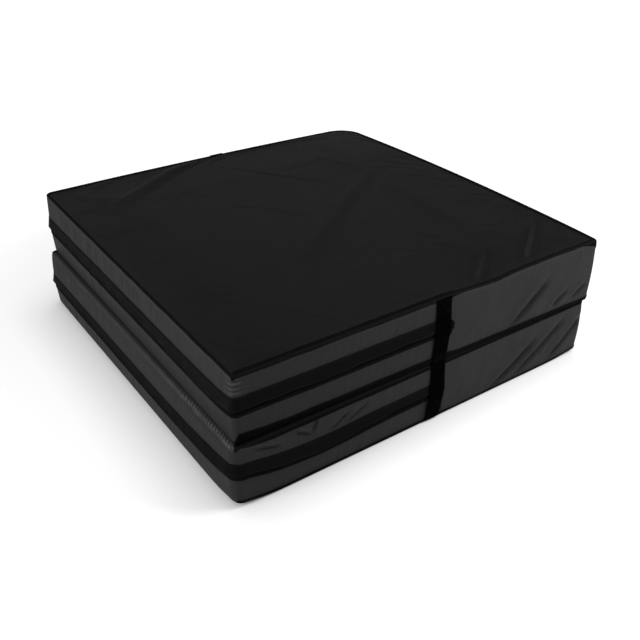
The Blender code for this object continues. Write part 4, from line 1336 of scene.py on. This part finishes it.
def make_flap(section):
    """The weather flap: sewn above the zip, with a hemmed free edge that hangs over it.

    A row's share of the way down blends its height from the seam's to the free edge's, and how far
    it stands off by a power just above one. Noise waves both.
    """
    sizes = bpy.context.scene.crash_mat_sizes
    near_end = STRAP_X[1] + NEAR_SLIP - 0.0015
    cols = zip_outline(section, near_end, FAR_ZIP_END - 0.006, sizes.grid_step)
    along, tucked = cols["along"], tuck(section, cols)
    share = np.concatenate((np.linspace(0.0, 0.84, 9), (0.88, 0.94, 1.0)))[:, None]
    seam, free_edge = FLAP_SEAM - SEAM_TUCK * tucked, FLAP_EDGE + EDGE_TUCK * tucked
    height = section["zip"] + seam + share * (free_edge - seam)
    height = height + 0.0020 * soft_noise(along, 0.0, 0.05, 1.0, 61) * share**2
    stand = flap_stand(section, cols) - 0.0020 * tucked
    hang = BINDING_SEAT + share**1.15 * (stand - BINDING_SEAT)
    hem = 0.0005 * smooth(share, 0.85, 0.90)
    ripple = 0.0009 * share * soft_noise(along, height, 0.022, 0.03, 63)
    points = skin(section, cols, height, hang + hem + ripple)
    uv = (along[None, :], (1 - share) * (FLAP_SEAM - FLAP_EDGE))
    node, body = f"{section['name']}_zip_flap", section["body"]
    options = {"flip": True, "edge": 0.6 * smooth(share, 0.9, 1.0)}
    lay(node, "cloth", points, uv, body, "flap_nylon", FLAP_CLOTH, **options)
    normals, lift = plan_normals(cols), FLAP_CLOTH + 2 * THREAD_LIFT
    rows = [stitch_row(points[row], normals, sizes.stitch_pitch, lift) for row in (1, 9)]
    sew(node + "_stitches", rows, body)


def make_end_tabs(section):
    """The folded tabs over the zip's ends, each sewn down all round.

    Each stands off the skin by a crown that falls with the fourth power towards its edges.
    """
    name, share = section["name"], np.linspace(-1.0, 1.0, 13)[:, None]
    near_start, far_start = section["near_zip_end"] - 0.0097, FAR_ZIP_END - 0.004
    spans = (
        ("near", near_start + TAB_WIDTH, near_start),
        ("far", far_start, far_start + TAB_WIDTH),
    )
    for span in spans:
        cols = outline(section, (span,), 0.0012, True)
        across = np.linspace(-1.0, 1.0, len(cols["radius"]))
        crown = 0.0006 * (1 - share**4) * (1 - across**4)
        height = section["zip"] + 0.0118 * share
        points = skin(section, cols, height, 0.0029 + crown)
        uv = (cols["along"][None, :], height)
        node, edge = f"{name}_zip_end_tab_{span[0]}", 0.5 * np.abs(share) ** 6
        lay(node, "cloth", points, uv, section["body"], "binding_tape", TAB_CLOTH, edge=edge)


def make_foam(section):
    """A foam block: rings across both faces and the swelling wall, a little inside the cover."""
    cols = whole_outline(section, 0.016)
    plan = plan_points(cols, np.array((-LAP, -0.006, -0.002))[:, None, None])
    inner = np.linspace(0.0, 1.0, FOAM_RINGS)[:, None, None] * plan[:1]
    face = np.concatenate((inner, plan[1:]))
    low, high = (face_points(section, face, top, FOAM_FACE_INSET) for top in (False, True))
    wall = skin(section, cols, np.linspace(0.004, FOAM_HEIGHT - 0.004, 11), FOAM_WALL_INSET)
    points = np.concatenate((low, wall, high[::-1]))
    uv = (cols["along"][None, :], np.linspace(0.0, 1.4, len(points))[:, None])
    node, body = section["name"] + "_foam_core", section["body"]
    piece = lay(node, "block", points, uv, body, "foam", closed=True)
    merge_poles(piece.data)


def merge_poles(mesh):
    """Joins the points that meet in the middle of both faces."""
    shape = bmesh.new()
    shape.from_mesh(mesh)
    bmesh.ops.remove_doubles(shape, verts=shape.verts, dist=1e-5)
    shape.to_mesh(mesh)
    shape.free()


def strap_section(section, side, path, shifts):
    """A strap's surface along a smooth path of (height, out), its UV map and its normals.

    The path runs straight between its points with rounded bends, by averaging neighbours.
    """
    path = np.array(path)
    run = path_run(path)
    places = np.linspace(0.0, run[-1], max(12, round(run[-1] / 0.003)))
    height, out = along_path(places, run, path).T
    for _ in range(4):
        out[1:-1] = (out[:-2] + 2 * out[1:-1] + out[2:]) / 4
    half = (STRAP_X[1] - STRAP_X[0]) / 2
    order = ACROSS_STRAP if side == "far" else -ACROSS_STRAP
    normal = side_normal(section, side)
    first, last = (corner_point(section, corner) for corner in SIDE_CORNERS[side])
    ahead = (last - first) / (last - first)[0]
    slip, slant = shifts
    shift = slip - slant * (1 - places / run[-1])
    x = STRAP_MIDDLE + half * order + shift[:, None]
    feet = first + (x - first[0])[..., None] * ahead
    height, out = height[:, None], out[:, None]
    edge = 0.0002 * np.abs(ACROSS_STRAP) ** 8
    total = section["bulge"] * swell_at(height) + out - edge
    plan = feet + total[..., None] * normal
    raised = corner_lift(section, feet, height) + top_rise(section, feet, height)
    points = np.concatenate((plan, (section["foam_z"] + height + raised)[..., None]), axis=2)
    outward = np.tile((*normal, 0.0), (len(places), 1))
    return points, (half * ACROSS_STRAP[None, :], places[:, None]), outward


# The anchor's path: height over the upper foam's underside, and distance out from the foam
ANCHOR_PATH = (
    (0.0010 - 0.0028, 0.0032),
    (0.030, 0.0032),
    (UPPER["zip"] - 0.026, 0.0036),
    (UPPER["zip"] - 0.010, 0.0084),
    (UPPER["zip"] + STRIP_EDGE, 0.0080),
    (UPPER["zip"] + FLAP_SEAM, 0.0046),
    (FOAM_HEIGHT - 0.020, 0.0032),
    (FOAM_HEIGHT + 0.0022, 0.0032),
)


def tail_path(side):
    """The tail's path over the lower section: in line with the anchor above, then easing in."""
    span = (side, STRAP_MIDDLE + 0.01, STRAP_MIDDLE - 0.01)
    lower, upper = (outline(section, (span,), 0.01, False)["foot"][1, 1] for section in SECTIONS)
    overhang = abs(float(upper)) - abs(float(lower))
    return (
        (0.004, 0.0044),
        (0.015, 0.0044),
        (0.060, 0.0044),
        (LOWER["zip"] - 0.012, 0.0084),
        (LOWER["zip"] + STRIP_EDGE, 0.0080 + 0.15 * overhang),
        (LOWER["zip"] + FLAP_SEAM, max(0.0046, 0.0056 + 0.5 * overhang)),
        (FOAM_HEIGHT - 0.020, 0.0032 + 0.9 * overhang),
        (FOAM_HEIGHT + 0.0018, 0.0032 + overhang),
    )


def box_stitches(points, outward, rows, lift):
    """A box with a cross sewn through a strap, between two of its rows and near its edges."""
    (r0, r1), (c0, c1) = rows, BOX_COLUMNS
    row = np.arange(r0, r1 + 1)
    lines = [points[row, c0], points[row, c1], points[r0, c0:c1 + 1], points[r1, c0:c1 + 1]]
    for start, end in ((c0, c1), (c1, c0)):
        spot = np.linspace(start, end, len(row))
        low = np.minimum(np.floor(spot).astype(int), points.shape[1] - 2)
        part = (spot - low)[:, None]
        lines.append(points[row, low] * (1 - part) + points[row, low + 1] * part)
    outward = outward[0]
    return [stitch_row(line, np.tile(outward, (len(line), 1)), BOX_PITCH, lift) for line in lines]


def make_strap(side):
    """One closing strap: the anchor sewn on the upper section, and the tail below it."""
    sizes = bpy.context.scene.crash_mat_sizes
    edge = 0.7 * np.abs(ACROSS_STRAP) ** 10
    parts = (
        ("anchor", UPPER, ANCHOR_PATH, "upper_section", ((-13, -3), (2, 9))),
        ("tail", LOWER, tail_path(side), f"strap_{side}", ((2, 18),)),
    )
    for label, section, path, body, boxes in parts:
        points, uv, outward = strap_section(section, side, path, STRAP_SHIFTS[side][label])
        node = f"strap_{side}_{label}"
        lay(node, "webbing", points, uv, body, "webbing", sizes.webbing, edge=edge)
        rows = []
        for box in boxes:
            ends = [index % len(points) for index in box]
            rows += box_stitches(points, outward, ends, sizes.webbing + THREAD_LIFT)
        sew(node + "_stitches", rows, body)


def make_patches(side):
    """The loop patch on the lower wall and the hook patch on the tail.

    Each is the strap's surface drawn in towards its middle line, with noise on it for the pile.
    """
    for label, seat, body in (("loop", 0.0018, "lower_section"), ("hook", 0.0031, f"strap_{side}")):
        path = ((0.016, seat), (0.059, seat))
        points, uv, outward = strap_section(LOWER, side, path, STRAP_SHIFTS[side]["patch"])
        middle = points.mean(axis=1, keepdims=True)
        bristle = PILE * soft_noise(*uv, 0.0021, 0.0021, 71)
        points = middle + 0.86 * (points - middle) + bristle[..., None] * outward[0]
        node = f"strap_{side}_{label}_patch"
        lay(node, "tape", points, uv, body, "hook_and_loop", PATCH_CLOTH)


def make_pull(section):
    """The ribbon pull: a flat ribbon from its sealed end up round the bridge and down again.

    The path is a half circle about the bridge's wire that narrows to two layers held together.
    """
    node = f"{section['name']}_zip_pull"
    low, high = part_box(node)
    angle = np.linspace(-0.30 * math.pi, 1.30 * math.pi, 17)
    eye = np.stack((0.00135 * np.cos(angle), 0.00135 * np.sin(angle)), axis=1)
    drop = np.linspace(0.0, 1.0, 14)[1:]
    half_gap = 0.00045 + 0.0004 * (1 - smooth(drop, 0, 0.12))
    front = np.stack((half_gap, -0.0016 - 0.0322 * drop), axis=1)
    path = np.concatenate((front[::-1], eye, front * (-1.0, 1.0)))
    across = np.linspace(low.x + 0.0003, high.x - 0.0003, 9)
    bend = 0.0010 * smooth(-path[:, 1], 0.006, 0.034) * np.sin(path[:, 1] * 90)
    points = np.empty((len(path), len(across), 3))
    points[..., 0] = across
    points[..., 1] = (high.y - WIRE_INSET + path[:, 0] + bend)[:, None]
    points[..., 2] = (high.z - WIRE_INSET + path[:, 1])[:, None]
    uv = (across[None, :], np.linspace(0.0, 0.07, len(path))[:, None])
    mesh = grid_mesh(node + "_ribbon", points, uv, flip=True)
    add_piece(mesh, f"{section['name']}_pull", "binding_tape", [node], RIBBON, offset=0.0)


def make_hinge():
    """The hinge: one strip of cloth from the lower wall, out to the fold line and back.

    The path is the lower leg, the run out, a tight turn round the fold line, and the same above.
    """
    sizes = bpy.context.scene.crash_mat_sizes
    hinge_x = frame["joints"][0]["pos_m"][0]
    wall_x = HALF_LENGTH + 0.0034
    turn = np.linspace(-math.pi / 2, math.pi / 2, 7)
    gap = 0.00045
    leg = [(wall_x, z) for z in (-0.040, -0.028, -0.014, -0.006, -0.002)]
    run_out = [(x, -gap) for x in (wall_x + 0.0012, wall_x + 0.005, hinge_x - 0.003)]
    lower = np.array(leg + run_out)
    nose = np.stack((hinge_x - 0.0006 + gap * np.cos(turn), gap * np.sin(turn)), axis=1)
    path = np.concatenate((lower, nose, lower[::-1] * (1.0, -1.0)))
    low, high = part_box("lower_hinge_web")
    y = np.linspace(high.y, low.y, 230)
    from_fold = smooth(np.abs(path[:, 1:2]), 0.004, 0.030)
    noise = soft_noise(y[None, :], path[:, 1:2], 0.045, 0.03, 81)
    points = np.empty((len(path), len(y), 3))
    points[..., 0] = path[:, :1] + from_fold * (0.003 + 0.0007 * noise)
    points[..., 1] = y
    points[..., 2] = FOLD_Z + path[:, 1:2]
    run = path_run(path)
    mesh = grid_mesh("hinge_web_cloth", points, (y[None, :], run[:, None]))
    nodes = ("lower_hinge_web", "upper_hinge_web")
    piece = add_piece(mesh, None, "flap_nylon", nodes, sizes.cloth)
    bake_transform(piece)
    outward = np.tile((1.0, 0.0, 0.0), (len(y), 1))
    for row, body in ((1, "lower_section"), (-2, "upper_section")):
        rows = [stitch_row(points[row], outward, sizes.stitch_pitch, sizes.cloth + THREAD_LIFT)]
        sew(f"hinge_web_stitches_{body}", rows, body)


# The camera, fitted to the photograph: place in metres, angles in degrees, lens in millimetres
CAMERA_PLACE = (-1.35516, -2.02900, 1.52040)
CAMERA_YAW = 34.829
CAMERA_PITCH = 31.653
CAMERA_ROLL = 0.080
CAMERA_LENS = 48.007

# Lamps: name, place, aim, size and power
LAMPS = (
    ("key", (1.0, -1.5, 1.6), (0.3, -0.6, 0.2), 0.8, 44.0),
    ("fill", (3.2, -1.8, 2.2), (0.0, 0.0, 0.2), 2.4, 20.0),
    ("side", (-2.6, -0.7, 1.3), (-0.6, 0.0, 0.2), 1.0, 47.0),
    ("top", (-0.2, 1.2, 4.0), (0.0, 0.0, 0.2), 3.0, 60.0),
)


def make_camera():
    """The camera at the photograph's viewing angle."""
    camera = place("camera", bpy.data.cameras.new("camera"))
    camera.data.lens = CAMERA_LENS
    camera.data.sensor_width = 36.0
    camera.location = CAMERA_PLACE
    aim = Euler((math.radians(90.0 - CAMERA_PITCH), 0.0, math.radians(-CAMERA_YAW)))
    roll = Euler((0.0, 0.0, math.radians(CAMERA_ROLL)))
    camera.rotation_euler = (aim.to_matrix() @ roll.to_matrix()).to_euler()
    bpy.context.scene.camera = camera


def make_lamp(name, spot, aim, size, power):
    """A square soft light at a place, aimed at a point."""
    data = bpy.data.lights.new(name, "AREA")
    data.size = size
    data.energy = power
    lamp = place(name, data)
    direction = np.array(aim) - np.array(spot)
    lamp.location = spot
    yaw = math.atan2(-direction[0], direction[1])
    tilt = math.atan2(math.hypot(direction[0], direction[1]), -direction[2])
    lamp.rotation_euler = (tilt, 0.0, yaw)


def camera_ray_white(tree, surface, near, far):
    """Adds white to what the camera sees of a floor, on top of its surface.

    Its strength goes from near to far with distance from the origin, less where things stand close.
    """
    path = tree.nodes.new("ShaderNodeLightPath").outputs["Is Camera Ray"]
    where = tree.nodes.new("ShaderNodeTexCoord").outputs["Object"]
    distance = tree.nodes.new("ShaderNodeVectorMath")
    distance.operation = "LENGTH"
    feed(tree, distance.inputs[0], where)
    reach = {"From Min": 0.9, "From Max": 2.2, "To Min": near, "To Max": far}
    spread = new_node(tree, "MapRange", {"Value": distance.outputs["Value"], **reach})
    spread.interpolation_type = "SMOOTHSTEP"
    close = new_node(tree, "AmbientOcclusion", {"Distance": 0.20}).outputs["AO"]
    seen = math_node(tree, "MULTIPLY", path, spread.outputs[0])
    glow = new_node(tree, "Emission", {"Strength": math_node(tree, "MULTIPLY", seen, close)})
    return new_node(tree, "AddShader", {0: surface, 1: glow.outputs[0]}).outputs[0]


def make_floor():
    """A wide pale floor that keeps the mat's shadow."""
    size = 14.0
    mesh = bpy.data.meshes.new("floor")
    corners = [(-size, -size, 0.0), (size, -size, 0.0), (size, size, 0.0), (-size, size, 0.0)]
    mesh.from_pydata(corners, [], [(0, 1, 2, 3)])
    floor = place("floor", mesh)
    floor.location.z = CAD_BOX[0].z - 0.0002
    material = bpy.data.materials.new("floor")
    material.use_nodes = True
    tree = material.node_tree
    shader = tree.nodes["Principled BSDF"]
    shader.inputs["Base Color"].default_value = (0.46, 0.46, 0.46, 1.0)
    shader.inputs["Roughness"].default_value = 0.9
    shader.inputs["Specular IOR Level"].default_value = 0.1
    output = tree.nodes["Material Output"]
    tree.links.new(camera_ray_white(tree, shader.outputs[0], 0.53, 0.86), output.inputs["Surface"])
    mesh.materials.append(material)


def make_world():
    """An even pale sky: plain light on the mat, and white where the camera sees it."""
    world = bpy.data.worlds.new("world")
    bpy.context.scene.world = world
    world.use_nodes = True
    tree = world.node_tree
    background = tree.nodes["Background"]
    path = tree.nodes.new("ShaderNodeLightPath")
    extra = math_node(tree, "MULTIPLY_ADD", path.outputs["Is Camera Ray"], 0.72, 0.28)
    tree.links.new(extra, background.inputs["Strength"])
    background.inputs["Color"].default_value = (1.0, 1.0, 1.0, 1.0)


class CRASHMAT_OT_materials(Operator):
    """Make the finishes of the mat."""

    bl_idname = "crash_mat.materials"
    bl_label = "Materials"

    def execute(self, context):
        make_materials(context.scene.crash_mat_colours)
        return {"FINISHED"}


class CRASHMAT_OT_foam(Operator):
    """Make the foam blocks."""

    bl_idname = "crash_mat.foam"
    bl_label = "Foam Blocks"

    def execute(self, context):
        for section in SECTIONS:
            make_foam(section)
        return {"FINISHED"}


class CRASHMAT_OT_panels(Operator):
    """Make the outer and landing panels."""

    bl_idname = "crash_mat.panels"
    bl_label = "Panels"

    def execute(self, context):
        for section in SECTIONS:
            for which in ("outer", "landing"):
                make_panel(section, which)
        return {"FINISHED"}


class CRASHMAT_OT_walls(Operator):
    """Make the side walls."""

    bl_idname = "crash_mat.walls"
    bl_label = "Side Walls"

    def execute(self, context):
        for section in SECTIONS:
            make_walls(section)
        return {"FINISHED"}


class CRASHMAT_OT_bindings(Operator):
    """Make the edge bindings and their stitches."""

    bl_idname = "crash_mat.bindings"
    bl_label = "Bindings"

    def execute(self, context):
        for section in SECTIONS:
            for which in ("outer", "landing"):
                make_binding(section, which)
        return {"FINISHED"}


class CRASHMAT_OT_zips(Operator):
    """Make the zip tapes, coils and end tabs."""

    bl_idname = "crash_mat.zips"
    bl_label = "Zips"

    def execute(self, context):
        for section in SECTIONS:
            make_tapes(section)
            make_coils(section)
            make_end_tabs(section)
        return {"FINISHED"}


class CRASHMAT_OT_sliders(Operator):
    """Paint the sliders and make their ribbon pulls."""

    bl_idname = "crash_mat.sliders"
    bl_label = "Sliders and Pulls"

    def execute(self, context):
        for section in SECTIONS:
            slider = frame["nodes"][f"{section['name']}_zip_slider"]
            slider.data.materials.clear()
            slider.data.materials.append(finish("slider_paint"))
            make_pull(section)
        return {"FINISHED"}


class CRASHMAT_OT_flaps(Operator):
    """Make the weather flaps over the zips."""

    bl_idname = "crash_mat.flaps"
    bl_label = "Zip Flaps"

    def execute(self, context):
        for section in SECTIONS:
            make_flap(section)
        return {"FINISHED"}


class CRASHMAT_OT_straps(Operator):
    """Make the closing straps and their hook-and-loop patches."""

    bl_idname = "crash_mat.straps"
    bl_label = "Closing Straps"

    def execute(self, context):
        for side in ("near", "far"):
            make_strap(side)
            make_patches(side)
        return {"FINISHED"}


class CRASHMAT_OT_hinge(Operator):
    """Make the fabric hinge between the sections."""

    bl_idname = "crash_mat.hinge"
    bl_label = "Fabric Hinge"

    def execute(self, context):
        make_hinge()
        return {"FINISHED"}


class CRASHMAT_OT_stage(Operator):
    """Make the floor, the light and the camera."""

    bl_idname = "crash_mat.stage"
    bl_label = "Stage"

    def execute(self, context):
        context.scene.view_settings.view_transform = "Standard"
        make_camera()
        make_world()
        make_floor()
        for lamp in LAMPS:
            make_lamp(*lamp)
        return {"FINISHED"}


STEPS = ("materials", "foam", "panels", "walls", "bindings", "zips")
STEPS += ("sliders", "flaps", "straps", "hinge", "stage")


class CRASHMAT_PT_sidebar(Panel):
    """The mat's steps and its sizes and colours."""

    bl_label = "Crash Mat"
    bl_idname = "CRASHMAT_PT_sidebar"
    bl_space_type = "VIEW_3D"
    bl_region_type = "UI"
    bl_category = "Crash Mat"

    def draw(self, context):
        layout = self.layout
        for settings in (context.scene.crash_mat_sizes, context.scene.crash_mat_colours):
            for name in settings.__annotations__:
                layout.prop(settings, name)
        for step in STEPS:
            layout.operator("crash_mat." + step)


CLASSES = (
    CrashMatSizes,
    CrashMatColours,
    CRASHMAT_OT_materials,
    CRASHMAT_OT_foam,
    CRASHMAT_OT_panels,
    CRASHMAT_OT_walls,
    CRASHMAT_OT_bindings,
    CRASHMAT_OT_zips,
    CRASHMAT_OT_sliders,
    CRASHMAT_OT_flaps,
    CRASHMAT_OT_straps,
    CRASHMAT_OT_hinge,
    CRASHMAT_OT_stage,
    CRASHMAT_PT_sidebar,
)


def register():
    """Registers the classes and hangs the settings on the scene."""
    for cls in CLASSES:
        bpy.utils.register_class(cls)
    bpy.types.Scene.crash_mat_sizes = PointerProperty(type=CrashMatSizes)
    bpy.types.Scene.crash_mat_colours = PointerProperty(type=CrashMatColours)


def unregister():
    """Takes the settings off the scene and unregisters the classes."""
    del bpy.types.Scene.crash_mat_colours
    del bpy.types.Scene.crash_mat_sizes
    for cls in reversed(CLASSES):
        bpy.utils.unregister_class(cls)


def main():
    """Builds the mat step by step."""
    register()
    for step in STEPS:
        getattr(bpy.ops.crash_mat, step)()


if __name__ == "__main__":
    main()
